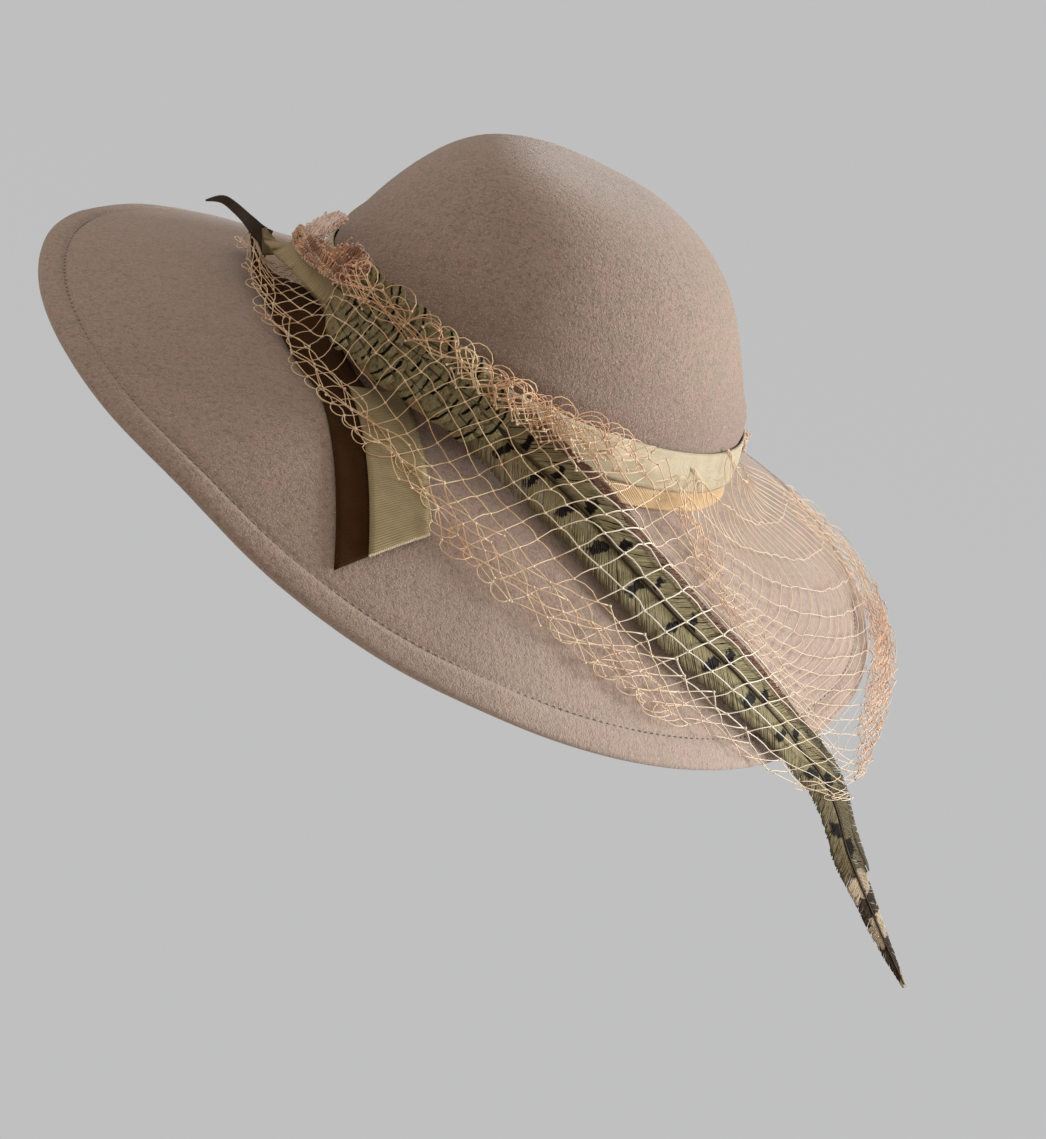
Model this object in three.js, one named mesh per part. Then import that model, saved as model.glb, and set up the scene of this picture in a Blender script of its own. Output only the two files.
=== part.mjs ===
// A wide-brim felt hat, trimmed with ribbons, pheasant feathers and a coarse veil.
// Millimetres, +Z up the crown. The origin is the middle of the head opening, at the height where the
// crown turns into the brim. -Y is the front of the hat and +X the wearer's left.
import * as THREE from "three";

// Felt cap
const FELT = 2.5;
const HALF_WIDTH = 86.5;
const HALF_DEPTH = 100.5;
const WALL_HEIGHT = 27;
const CROWN_TOP = 87;
const CROWN_TAPER = 0.965;
const CROWN_POWER = 3.6;
const CROWN_LEAN = -7;
const DOME_RUN = 100;
const LIP_ROLL = 1.2;
const BRIM_WIDTH = 95.5;
const BRIM_SHOULDER = 0.45;
const BREAK_RADIUS = 6;
const CAP_SIDES = 52;

// Turned and stitched edge of the brim
const HEM_WIDTH = 9;
const HEM_RISE = 0.7;
const HEM_DROP = 1.3;
const STITCH_GROOVE = 0.5;
const RIM_ROUND = 1.4;

// How far the rim hangs below the brim break, every 15 degrees from the wearer's left, over the back,
// the wearer's right and the front
const RIM_ROWS = [
  { deg: 0, drop: 58 },
  { deg: 15, drop: 44 },
  { deg: 30, drop: 33 },
  { deg: 45, drop: 24 },
  { deg: 60, drop: 19 },
  { deg: 75, drop: 20 },
  { deg: 90, drop: 23 },
  { deg: 105, drop: 26 },
  { deg: 120, drop: 28 },
  { deg: 135, drop: 28 },
  { deg: 150, drop: 26 },
  { deg: 165, drop: 24 },
  { deg: 180, drop: 24 },
  { deg: 195, drop: 24 },
  { deg: 210, drop: 27 },
  { deg: 225, drop: 30 },
  { deg: 240, drop: 34 },
  { deg: 255, drop: 38 },
  { deg: 270, drop: 49 },
  { deg: 285, drop: 56 },
  { deg: 300, drop: 59 },
  { deg: 315, drop: 61 },
  { deg: 330, drop: 61 },
  { deg: 345, drop: 60 },
];

// Ribbons, and the air left between two layers
const RIBBON = 1;
const AIR = 0.35;
const LOOP_WIDTH = 17;
const LOWER_BAND = { top: 12, foot: 1.5 };
const UPPER_BAND = { top: 25, foot: 10 };

// The two ribbon tails lie on the front of the brim. Across is to the wearer's left of their line.
const TAIL_ROOT = { x: -33, y: -103 };
const TAIL_HEADING_DEG = -48;
const TAIL_SLANT_DEG = 19;
const GOLD_TAIL = { start: 7, length: 75, from: 0, to: 21, lift: 2 * AIR + RIBBON };
const BROWN_TAIL = { start: 8, length: 75, from: -11, to: 11, lift: AIR };

// The long tail feather: its middle line, half its width, and how far its face leans outwards
const QUILL_ROWS = [
  { x: -50, y: -83.5, z: 22, half: 6, lean: 84 },
  { x: -34, y: -97, z: 22, half: 8, lean: 84 },
  { x: -17, y: -105, z: 21.5, half: 8.5, lean: 82 },
  { x: 1, y: -108, z: 19.5, half: 9, lean: 80 },
  { x: 18, y: -106.5, z: 15.5, half: 9, lean: 76 },
  { x: 34, y: -102.5, z: 10.5, half: 9, lean: 66 },
  { x: 50, y: -98.5, z: 5.5, half: 9, lean: 54 },
  { x: 67, y: -95.5, z: 0, half: 9.5, lean: 45 },
  { x: 84, y: -92, z: -7.5, half: 9.5, lean: 42 },
  { x: 100, y: -85.5, z: -14.5, half: 9.5, lean: 42 },
  { x: 115, y: -77, z: -21.5, half: 9.5, lean: 42 },
  { x: 129, y: -65.5, z: -28, half: 9, lean: 42 },
  { x: 142, y: -52.5, z: -36, half: 9, lean: 42 },
  { x: 153, y: -39, z: -44, half: 8.5, lean: 42 },
  { x: 163, y: -25, z: -53, half: 8, lean: 42 },
  { x: 174, y: -14, z: -61, half: 7, lean: 42 },
  { x: 184, y: -4, z: -72, half: 6, lean: 42 },
  { x: 194, y: 6, z: -86, half: 5, lean: 42 },
  { x: 204, y: 14, z: -97, half: 4.2, lean: 42 },
  { x: 213, y: 20, z: -106, half: 3.4, lean: 42 },
  { x: 224, y: 27, z: -117, half: 2.6, lean: 42 },
  { x: 239, y: 36, z: -131, half: 0.8, lean: 42 },
];
const FEATHER = 1;
const FEATHER_RIDGE = 0.8;
const LAYER = FEATHER + FEATHER_RIDGE + AIR;
const LONG_FEATHER = { from: 0, to: 1, across: 0, lift: 0 };
const SECOND_FEATHER = { from: 0.14, to: 0.84, half: 7.5, across: 4, lift: -LAYER };
const RUST_FEATHER = { from: 0.28, to: 0.66, half: 5, across: 8, lift: -2 * LAYER };

// Small body feathers, each over the foot of the next
const BODY_FEATHERS = 4;
const BODY_FEATHER = { length: 30, half: 11.5, pitch: 15, start: 2, lift: 1.2, climb: 4.4 };

// Bow on the wearer's right. Each path goes from place to place: degrees round the cap, millimetres
// down from the brim break and lift over the felt.
const GOLD_LOOP = [
  { deg: 225, down: -15, lift: 3.9 },
  { deg: 217, down: -16, lift: 6 },
  { deg: 209, down: -17, lift: 7.5 },
  { deg: 202, down: -17, lift: 11 },
  { deg: 203, down: -16, lift: 15 },
  { deg: 208, down: -15, lift: 16 },
];
const BROWN_LOOP = [
  { deg: 222, down: 14, lift: 1.3 },
  { deg: 214, down: 15, lift: 1.5 },
  { deg: 206, down: 16, lift: 2 },
  { deg: 199, down: 17, lift: 4 },
  { deg: 205, down: 16, lift: 6.4 },
  { deg: 213, down: 15, lift: 6.6 },
  { deg: 220, down: 14, lift: 5.6 },
];
const POINTED_END = [
  { deg: 207, down: 17, lift: 8.9 },
  { deg: 205.5, down: 22, lift: 13 },
  { deg: 204, down: 28, lift: 17.5 },
  { deg: 203, down: 34, lift: 21 },
  { deg: 202, down: 40, lift: 22.5 },
];
const POINTED_END_WIDTH = 13;

// The bunched ends of the veil, at the bow and behind the wearer's left
const GATHERS = [
  { name: "veil_gather_right", deg: 216, down: -24, lift: 11.8, round: 10, tall: 7, deep: 4.5 },
  { name: "veil_gather_left", deg: 29.5, down: -14, lift: 8.3, round: 9, tall: 7, deep: 4.5 },
];
const GATHER_SIDES = 18;
const GATHER_FOLDS = 6;
const GATHER_FOLD_DEPTH = 0.12;

// The veil, section by section from the bow to its gathered end on the wearer's left. Each section
// runs from a place up on the crown to one on the brim. A place is degrees round the cap and
// millimetres down from the brim break. The veil lies at a lift over the felt. It passes over the
// feathers at the share named over, and rises there by rise.
const VEIL_ROWS = [
  { innerDeg: 227, inner: -31, outerDeg: 206, outer: 26, lift: 9, over: 0.42, rise: 6 },
  { innerDeg: 233, inner: -33, outerDeg: 219, outer: 24, lift: 7, over: 0.36, rise: 9 },
  { innerDeg: 242, inner: -36, outerDeg: 233, outer: 24, lift: 4.4, over: 0.33, rise: 14 },
  { innerDeg: 257, inner: -35, outerDeg: 252, outer: 30, lift: 4, over: 0.32, rise: 16.5 },
  { innerDeg: 270, inner: -34, outerDeg: 270, outer: 35, lift: 4, over: 0.32, rise: 17 },
  { innerDeg: 281, inner: -34, outerDeg: 287, outer: 53, lift: 4, over: 0.32, rise: 15 },
  { innerDeg: 293, inner: -30, outerDeg: 302, outer: 66, lift: 4, over: 0.34, rise: 12 },
  { innerDeg: 306, inner: -28, outerDeg: 318, outer: 78, lift: 4, over: 0.46, rise: 10.5 },
  { innerDeg: 320, inner: -27, outerDeg: 334, outer: 89, lift: 4.2, over: 0.72, rise: 9 },
  { innerDeg: 336, inner: -25, outerDeg: 347, outer: 99, lift: 4.2, over: 0.86, rise: 9 },
  { innerDeg: 352, inner: -24, outerDeg: 362, outer: 106, lift: 4.2, over: 1, rise: 9 },
  { innerDeg: 368, inner: -22, outerDeg: 380, outer: 104, lift: 4, over: 1, rise: 2 },
  { innerDeg: 377, inner: -20, outerDeg: 398, outer: 101, lift: 3.4, over: 1, rise: 0 },
  { innerDeg: 382, inner: -18, outerDeg: 415, outer: 97, lift: 3.2, over: 1, rise: 0 },
];
const VEIL_COLUMNS = 24;
const VEIL_LINES = 10;
const VEIL_BAR = 1.3;
const VEIL_OVER_WIDTH = 0.34;
// The veil spans the turn from crown to brim in an easy curve of this radius
const VEIL_EASE = 30;

const FINISH = {
  felt: { color: 0x8c7466, roughness: 0.95, metalness: 0 },
  gold: { color: 0x9d8a66, roughness: 0.6, metalness: 0 },
  cream: { color: 0xd9c49d, roughness: 0.55, metalness: 0 },
  tan: { color: 0xc09a6c, roughness: 0.55, metalness: 0 },
  brown: { color: 0x412916, roughness: 0.6, metalness: 0 },
  feather: { color: 0x5e5139, roughness: 0.6, metalness: 0 },
  rust: { color: 0x4a2f22, roughness: 0.6, metalness: 0 },
  veil: { color: 0xe6b98c, roughness: 0.7, metalness: 0 },
};

const rad = THREE.MathUtils.degToRad;
const lerp = THREE.MathUtils.lerp;
const UP = new THREE.Vector3(0, 0, 1);

// A smooth curve through four evenly spaced values, from the second to the third
function smooth(a, b, c, d, f) {
  const bend = 2 * a - 5 * b + 4 * c - d;
  const twist = -a + 3 * b - 3 * c + d;
  return 0.5 * (2 * b + (c - a) * f + bend * f * f + twist * f * f * f);
}

// One column of a table that runs from end to end, at a share of its length
function along(rows, column, share) {
  const at = THREE.MathUtils.clamp(share, 0, 1) * (rows.length - 1);
  const i = Math.min(Math.floor(at), rows.length - 2);
  const row = (k) => rows[THREE.MathUtils.clamp(k, 0, rows.length - 1)][column];
  return smooth(row(i - 1), row(i), row(i + 1), row(i + 2), at - i);
}

function rimDrop(angle) {
  const rows = RIM_ROWS.length;
  const at = THREE.MathUtils.euclideanModulo(angle / (2 * Math.PI), 1) * rows;
  const i = Math.floor(at);
  const drop = (k) => RIM_ROWS[(k + rows) % rows].drop;
  return smooth(drop(i - 1), drop(i), drop(i + 1), drop(i + 2), at - i);
}

// Places on the outside of the cap. Down is measured along the felt from the brim break: positive
// over the brim, negative up the wall and then over the dome.
function brimPoint(angle, down) {
  const share = down / BRIM_WIDTH;
  const drop = rimDrop(angle);
  const reach = Math.sqrt(BRIM_WIDTH * BRIM_WIDTH - drop * drop);
  const fall = BRIM_SHOULDER * share + (1 - BRIM_SHOULDER) * share * share;
  return new THREE.Vector3(
    (HALF_WIDTH + reach * share) * Math.cos(angle),
    (HALF_DEPTH + reach * share) * Math.sin(angle),
    -drop * fall,
  );
}

function crownPoint(angle, down) {
  const height = Math.min(-down, WALL_HEIGHT);
  const share = THREE.MathUtils.clamp(1 + (down + WALL_HEIGHT) / DOME_RUN, 0, 1);
  const risen = 1 - Math.pow(share, CROWN_POWER);
  const z = height + (CROWN_TOP - WALL_HEIGHT) * risen;
  const taper = 1 - (1 - CROWN_TAPER) * (height / WALL_HEIGHT);
  const roll = LIP_ROLL * Math.exp(-Math.pow((z - WALL_HEIGHT - 5) / 4, 2));
  return new THREE.Vector3(
    (HALF_WIDTH * taper * share + roll) * Math.cos(angle) + CROWN_LEAN * risen,
    (HALF_DEPTH * taper * share + roll) * Math.sin(angle),
    z,
  );
}

// The turn from wall to brim is a curve that starts and ends at this radius from the corner
function capSkin(angle, down, radius) {
  if (Math.abs(down) >= radius) {
    return down > 0 ? brimPoint(angle, down) : crownPoint(angle, down);
  }
  const f = (down + radius) / (2 * radius);
  const wall = crownPoint(angle, -radius).multiplyScalar((1 - f) * (1 - f));
  const corner = brimPoint(angle, 0).multiplyScalar(2 * f * (1 - f));
  const brim = brimPoint(angle, radius).multiplyScalar(f * f);
  return wall.add(corner).add(brim);
}

// A point at a height over the outside of the felt. A negative lift is inside it.
function capPoint(angle, down, lift, radius = BREAK_RADIUS) {
  const step = 0.001;
  const skin = (turn, run) => capSkin(angle + turn, down + run, radius);
  const alongProfile = skin(0, step).sub(skin(0, -step));
  const alongRing = skin(step, 0).sub(skin(-step, 0));
  const face = alongProfile.cross(alongRing).normalize();
  return skin(0, 0).addScaledVector(face, lift);
}

// The height of the felt under a place in plan on the brim, with a lift over it
function onBrim(x, y, lift) {
  let angle = Math.atan2(y / HALF_DEPTH, x / HALF_WIDTH);
  let down = 0;
  for (let turn = 0; turn < 12; turn += 1) {
    const drop = rimDrop(angle);
    const reach = Math.sqrt(BRIM_WIDTH * BRIM_WIDTH - drop * drop);
    const radius = Math.hypot(x, y);
    const span = Math.hypot(HALF_WIDTH * Math.cos(angle), HALF_DEPTH * Math.sin(angle));
    down = ((radius - span) / reach) * BRIM_WIDTH;
    const out = (reach * down) / BRIM_WIDTH;
    angle = Math.atan2(y / (HALF_DEPTH + out), x / (HALF_WIDTH + out));
  }
  return capPoint(angle, Math.max(down, -WALL_HEIGHT), lift);
}

function geometryOf(points, faces) {
  const geometry = new THREE.BufferGeometry();
  const values = points.flatMap((p) => [p.x, p.y, p.z]);
  geometry.setAttribute("position", new THREE.Float32BufferAttribute(values, 3));
  geometry.setIndex(faces.flat());
  geometry.computeVertexNormals();
  return geometry;
}

function quad(a, b, c, d) {
  return [
    [a, b, c],
    [a, c, d],
  ];
}

// Rings of points joined one to the next, closed by a middle point at each end
function capped(rings, first, last) {
  const sides = rings[0].length;
  const points = [...rings.flat(), first, last];
  const faces = [];
  rings.slice(1).forEach((ring, k) => {
    for (let i = 0; i < sides; i += 1) {
      const j = (i + 1) % sides;
      const [here, next] = [k * sides, (k + 1) * sides];
      faces.push(...quad(here + i, next + i, next + j, here + j));
    }
  });
  const end = (rings.length - 1) * sides;
  for (let i = 0; i < sides; i += 1) {
    const j = (i + 1) % sides;
    faces.push([points.length - 2, i, j]);
    faces.push([points.length - 1, end + j, end + i]);
  }
  return geometryOf(points, faces);
}

// A closed sheet. Place gives a point for shares along and across, at its lower or upper face.
function sheet(columns, lines, place, wraps = false) {
  const points = [];
  const count = wraps ? columns : columns + 1;
  const at = (i, j, top) => ((i % count) * (lines + 1) + j) * 2 + top;
  for (let i = 0; i < count; i += 1) {
    for (let j = 0; j <= lines; j += 1) {
      points.push(place(i / columns, j / lines, 0), place(i / columns, j / lines, 1));
    }
  }
  const faces = [];
  for (let i = 0; i < columns; i += 1) {
    for (let j = 0; j < lines; j += 1) {
      faces.push(...quad(at(i, j, 1), at(i + 1, j, 1), at(i + 1, j + 1, 1), at(i, j + 1, 1)));
      faces.push(...quad(at(i, j, 0), at(i, j + 1, 0), at(i + 1, j + 1, 0), at(i + 1, j, 0)));
    }
    faces.push(...quad(at(i, 0, 0), at(i + 1, 0, 0), at(i + 1, 0, 1), at(i, 0, 1)));
    faces.push(...quad(at(i, lines, 1), at(i + 1, lines, 1), at(i + 1, lines, 0), at(i, lines, 0)));
  }
  if (!wraps) {
    for (let j = 0; j < lines; j += 1) {
      faces.push(...quad(at(0, j, 1), at(0, j + 1, 1), at(0, j + 1, 0), at(0, j, 0)));
      const e = columns;
      faces.push(...quad(at(e, j, 0), at(e, j + 1, 0), at(e, j + 1, 1), at(e, j, 1)));
    }
  }
  return geometryOf(points, faces);
}

const hat = new THREE.Group();

function add(name, geometry, finish) {
  const mesh = new THREE.Mesh(geometry, new THREE.MeshStandardMaterial(FINISH[finish]));
  mesh.name = name;
  hat.add(mesh);
}

// The felt cap is one shell: down the outside of the crown and brim, round the puffed hem, and back
// under the brim to the inside of the dome
function feltBody() {
  const dome = (count, lift) =>
    Array.from({ length: count }, (_, k) => {
      const share = Math.sin(((k + 1) / (count + 0.4)) * (Math.PI / 2));
      return { down: -WALL_HEIGHT - DOME_RUN * (1 - share), lift };
    });
  const hem = BRIM_WIDTH - HEM_WIDTH;
  const under = -FELT - HEM_DROP;
  const middle = (HEM_RISE + under) / 2;
  const outside = [-WALL_HEIGHT, -20, -12, -6, -3, 0, 3, 6, 14, 25, 36, 48, 60, 72, hem - 4];
  const inside = [72, 58, 44, 30, 16, 6, 2, -2, -6, -16, -WALL_HEIGHT];
  const rings = [
    ...dome(10, 0),
    ...outside.map((down) => ({ down, lift: 0 })),
    { down: hem, lift: -STITCH_GROOVE },
    { down: hem + 2, lift: HEM_RISE * 0.7 },
    { down: hem + 5, lift: HEM_RISE },
    { down: BRIM_WIDTH - RIM_ROUND, lift: HEM_RISE * 0.7 },
    { down: BRIM_WIDTH, lift: middle + 1 },
    { down: BRIM_WIDTH, lift: middle - 1 },
    { down: BRIM_WIDTH - RIM_ROUND, lift: under },
    { down: hem + 2, lift: under },
    { down: hem - 1, lift: -FELT },
    ...inside.map((down) => ({ down, lift: -FELT })),
    ...dome(6, -FELT).reverse(),
  ];
  const points = rings.map(({ down, lift }) =>
    Array.from({ length: CAP_SIDES }, (_, i) =>
      capPoint((i / CAP_SIDES) * 2 * Math.PI, down, lift)),
  );
  const crest = new THREE.Vector3(CROWN_LEAN, 0, CROWN_TOP);
  return capped(points, crest, crest.clone().setZ(CROWN_TOP - FELT));
}

function hatband({ top, foot }, lift) {
  const place = (u, v, face) => capPoint(u * 2 * Math.PI, lerp(-top, -foot, v), lift + face * RIBBON);
  return sheet(CAP_SIDES, 1, (u, v, face) => place(-u, v, face), true);
}

// A flat ribbon over the brim, cut off on a slant
function ribbonTail({ start, length, from, to, lift }) {
  const heading = rad(TAIL_HEADING_DEG);
  const slant = Math.tan(rad(TAIL_SLANT_DEG));
  return sheet(12, 2, (u, v, face) => {
    const across = lerp(from, to, v);
    const run = lerp(start, length - across * slant, u);
    const x = TAIL_ROOT.x + run * Math.cos(heading) - across * Math.sin(heading);
    const y = TAIL_ROOT.y + run * Math.sin(heading) + across * Math.cos(heading);
    return onBrim(x, y, lift + face * RIBBON);
  });
}

// A point beside the long feather's middle line. Across is positive towards the crown, and lift is
// out of its face.
function besideQuill(share, across, lift) {
  const point = (s) =>
    new THREE.Vector3(along(QUILL_ROWS, "x", s), along(QUILL_ROWS, "y", s), along(QUILL_ROWS, "z", s));
  const step = 0.002;
  const ahead = point(Math.min(share + step, 1)).sub(point(Math.max(share - step, 0))).normalize();
  const outwards = ahead.clone().cross(UP).normalize();
  const upwards = outwards.clone().cross(ahead).normalize();
  const lean = rad(along(QUILL_ROWS, "lean", share));
  const face = upwards.clone().multiplyScalar(Math.cos(lean)).addScaledVector(outwards, Math.sin(lean));
  const side = face.clone().cross(ahead).normalize();
  return point(share).addScaledVector(side, across).addScaledVector(face, lift);
}

function vane(half, { from, to, across, lift }) {
  return sheet(28, 2, (u, v, face) => {
    const share = lerp(from, to, u);
    const ridge = v === 0.5 ? FEATHER_RIDGE * Math.min(1, half(u, share) / 4) : 0;
    const reach = across + (2 * v - 1) * half(u, share);
    return besideQuill(share, reach, lift + ridge + (face - 0.5) * FEATHER);
  });
}

// A feather that lies beside the long one, widest in its middle
function sideFeather(feather) {
  return vane((u) => feather.half * Math.pow(Math.sin(Math.PI * lerp(0.06, 0.99, u)), 0.6), feather);
}

const QUILL_LENGTH = QUILL_ROWS.slice(1).reduce((sum, row, k) => {
  const before = QUILL_ROWS[k];
  return sum + Math.hypot(row.x - before.x, row.y - before.y, row.z - before.z);
}, 0);

// A round-ended feather that climbs away from the long one, so that the next can start under it
function bodyFeather(k) {
  const { length, half, pitch, start, lift, climb } = BODY_FEATHER;
  const from = (start + k * pitch) / QUILL_LENGTH;
  return sheet(8, 2, (u, v, face) => {
    const round = Math.sqrt(Math.max(0.02, 1 - Math.pow(2 * u - 1, 4)));
    const cup = v === 0.5 ? FEATHER_RIDGE : 0;
    const across = (2 * v - 1) * half * round;
    return besideQuill(from + (u * length) / QUILL_LENGTH, across, lift + climb * u + cup + face * FEATHER);
  });
}

// A ribbon folded along a path of places on the cap. Its width runs down the cap, or round it.
function foldedRibbon(path, width, { round = false, taper = () => 1 } = {}) {
  const middle = (s) =>
    capPoint(rad(along(path, "deg", s)), along(path, "down", s), along(path, "lift", s));
  return sheet(3 * (path.length - 1), 1, (u, v, face) => {
    const step = 0.002;
    const ahead = middle(Math.min(u + step, 1)).sub(middle(Math.max(u - step, 0))).normalize();
    const angle = rad(along(path, "deg", u));
    const down = along(path, "down", u);
    const [before, after] = round
      ? [capPoint(angle - 0.01, down, 0), capPoint(angle + 0.01, down, 0)]
      : [capPoint(angle, down - 1, 0), capPoint(angle, down + 1, 0)];
    const side = after.sub(before).normalize();
    side.addScaledVector(ahead, -side.dot(ahead)).normalize();
    const out = ahead.clone().cross(side).normalize();
    const reach = (v - 0.5) * width * taper(u);
    return middle(u).addScaledVector(side, reach).addScaledVector(out, (face - 0.5) * RIBBON);
  });
}

// A bunch of net: a flattened ball with folds round it
function gather({ deg, down, lift, round, tall, deep }) {
  const middle = capPoint(rad(deg), down, lift);
  const out = capPoint(rad(deg), down, lift + 1).sub(middle).normalize();
  const fall = capPoint(rad(deg), down + 1, lift).sub(middle).normalize();
  const side = fall.clone().cross(out).normalize();
  const place = (turn, rise) => {
    const fold = 1 + GATHER_FOLD_DEPTH * Math.cos(GATHER_FOLDS * turn);
    const reach = Math.cos(rise) * fold;
    return middle.clone()
      .addScaledVector(side, round * reach * Math.cos(turn))
      .addScaledVector(fall, tall * reach * Math.sin(turn))
      .addScaledVector(out, deep * Math.sin(rise));
  };
  const rings = [-60, -30, 0, 30, 60].map((rise) =>
    Array.from({ length: GATHER_SIDES }, (_, i) => place((-2 * Math.PI * i) / GATHER_SIDES, rad(rise))));
  const ends = [-90, 90].map((rise) => place(0, rad(rise)));
  return capped(rings, ends[0], ends[1]);
}

function veilPoint(u, v, lift) {
  const deg = lerp(along(VEIL_ROWS, "innerDeg", u), along(VEIL_ROWS, "outerDeg", u), v);
  const down = lerp(along(VEIL_ROWS, "inner", u), along(VEIL_ROWS, "outer", u), v);
  const away = (v - along(VEIL_ROWS, "over", u)) / VEIL_OVER_WIDTH;
  const rise = along(VEIL_ROWS, "rise", u) * Math.exp(-away * away);
  return capPoint(rad(deg), down, along(VEIL_ROWS, "lift", u) + rise + lift, VEIL_EASE);
}

// Net of diamonds, each cut through, whose knots are every second crossing of a fine grid
function net(columns, lines, place) {
  const points = [];
  const faces = [];
  const known = new Map();
  const knot = (i, j, top) => {
    const key = `${i},${j},${top}`;
    if (!known.has(key)) {
      points.push(place(i / columns, j / lines, top));
      known.set(key, points.length - 1);
    }
    return known.get(key);
  };
  const inMesh = (i, j) => i > 0 && j > 0 && i < columns && j < lines && (i + j) % 2 === 1;
  for (let i = 1; i < columns; i += 1) {
    for (let j = 1; j < lines; j += 1) {
      if (inMesh(i, j)) {
        const corners = [[i - 1, j], [i, j - 1], [i + 1, j], [i, j + 1]];
        const beyond = [[i - 1, j - 1], [i + 1, j - 1], [i + 1, j + 1], [i - 1, j + 1]];
        const outer = [0, 1].map((top) => corners.map(([a, b]) => knot(a, b, top)));
        const middle = [0, 1].map((top) =>
          outer[top].reduce((sum, n) => sum.add(points[n]), new THREE.Vector3()).divideScalar(4));
        const inner = [0, 1].map((top) =>
          outer[top].map((n) => {
            const reach = points[n].distanceTo(middle[top]);
            const shrink = Math.max(0.4, 1 - (1.3 * VEIL_BAR) / reach);
            points.push(middle[top].clone().lerp(points[n], shrink));
            return points.length - 1;
          }));
        for (let k = 0; k < 4; k += 1) {
          const n = (k + 1) % 4;
          faces.push(...quad(outer[1][k], outer[1][n], inner[1][n], inner[1][k]));
          faces.push(...quad(outer[0][n], outer[0][k], inner[0][k], inner[0][n]));
          faces.push(...quad(inner[1][k], inner[1][n], inner[0][n], inner[0][k]));
          if (!inMesh(...beyond[k])) {
            faces.push(...quad(outer[1][n], outer[1][k], outer[0][k], outer[0][n]));
          }
        }
      }
    }
  }
  return geometryOf(points, faces);
}

add("felt_body", feltBody(), "felt");
add("hatband_lower", hatband(LOWER_BAND, AIR), "tan");
add("hatband_upper", hatband(UPPER_BAND, 2 * AIR + RIBBON), "cream");
add("ribbon_tail_brown", ribbonTail(BROWN_TAIL), "brown");
add("ribbon_tail_gold", ribbonTail(GOLD_TAIL), "gold");
add("tail_feather_long", vane((u, share) => along(QUILL_ROWS, "half", share), LONG_FEATHER), "feather");
add("tail_feather_second", sideFeather(SECOND_FEATHER), "feather");
add("tail_feather_rust", sideFeather(RUST_FEATHER), "rust");
for (let k = 0; k < BODY_FEATHERS; k += 1) {
  add(`body_feather_${k + 1}`, bodyFeather(k), "feather");
}
add("bow_loop_gold", foldedRibbon(GOLD_LOOP, LOOP_WIDTH), "gold");
add("bow_loop_brown", foldedRibbon(BROWN_LOOP, LOOP_WIDTH), "brown");
const pointed = (u) => Math.max(0.12, 1 - Math.pow(u, 1.5));
add("ribbon_pointed_end", foldedRibbon(POINTED_END, POINTED_END_WIDTH, { round: true, taper: pointed }), "brown");
for (const bunch of GATHERS) {
  add(bunch.name, gather(bunch), "veil");
}
add("veil_net", net(VEIL_COLUMNS, VEIL_LINES, (u, v, face) => veilPoint(u, 1 - v, face * VEIL_BAR)), "veil");

export default hat;
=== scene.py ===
# %% [markdown]
# A wide-brim felt hat with ribbons, pheasant feathers and a veil
#
# A hat like this starts as a flat hood of wool felt. The hatter steams it, pulls it over a block, turns
# the edge of the brim and stitches it down. Ribbons, feathers and a net are then sewn on by hand. The
# script works in that order. Lengths are in millimetres until a mesh is written out in metres.

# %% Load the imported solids
import math
import random

import bmesh
import bpy
from mathutils import Matrix, Vector, noise
from mathutils.bvhtree import BVHTree
from mathutils.kdtree import KDTree


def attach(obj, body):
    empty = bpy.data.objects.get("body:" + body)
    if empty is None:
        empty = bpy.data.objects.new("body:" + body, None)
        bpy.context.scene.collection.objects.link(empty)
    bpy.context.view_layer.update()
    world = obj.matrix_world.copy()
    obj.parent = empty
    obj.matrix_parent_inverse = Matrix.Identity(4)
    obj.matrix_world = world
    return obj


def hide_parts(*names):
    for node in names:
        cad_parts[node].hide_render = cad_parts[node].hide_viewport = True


MM = 0.001
# The noise takes its seed from the clock unless it is given one, and each run has to be the same
noise.seed_set(7)
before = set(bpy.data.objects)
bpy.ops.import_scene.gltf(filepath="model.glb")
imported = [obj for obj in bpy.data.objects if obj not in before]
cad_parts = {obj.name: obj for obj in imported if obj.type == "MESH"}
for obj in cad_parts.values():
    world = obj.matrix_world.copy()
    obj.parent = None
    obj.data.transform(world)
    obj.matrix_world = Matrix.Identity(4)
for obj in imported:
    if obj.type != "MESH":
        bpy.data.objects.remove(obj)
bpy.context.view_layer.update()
print("solids:", len(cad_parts))

# %% [markdown]
# The camera
#
# The hat is seen from a little above and from the side of its bow, and it leans over to one side. The lean
# is a roll of the camera here, so that the hat itself stays upright in its own frame.

# %% Camera
PHOTO_WIDE = 1046
PHOTO_TALL = 1139
FOCAL_PX = 3455
VIEW_TURN = math.radians(12)
VIEW_RISE = math.radians(14.5)
VIEW_ROLL = math.radians(28.2)
VIEW_AWAY = 1.3
HAT_MIDDLE_PX = (511.5, 390)
SENSOR = 36


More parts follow.
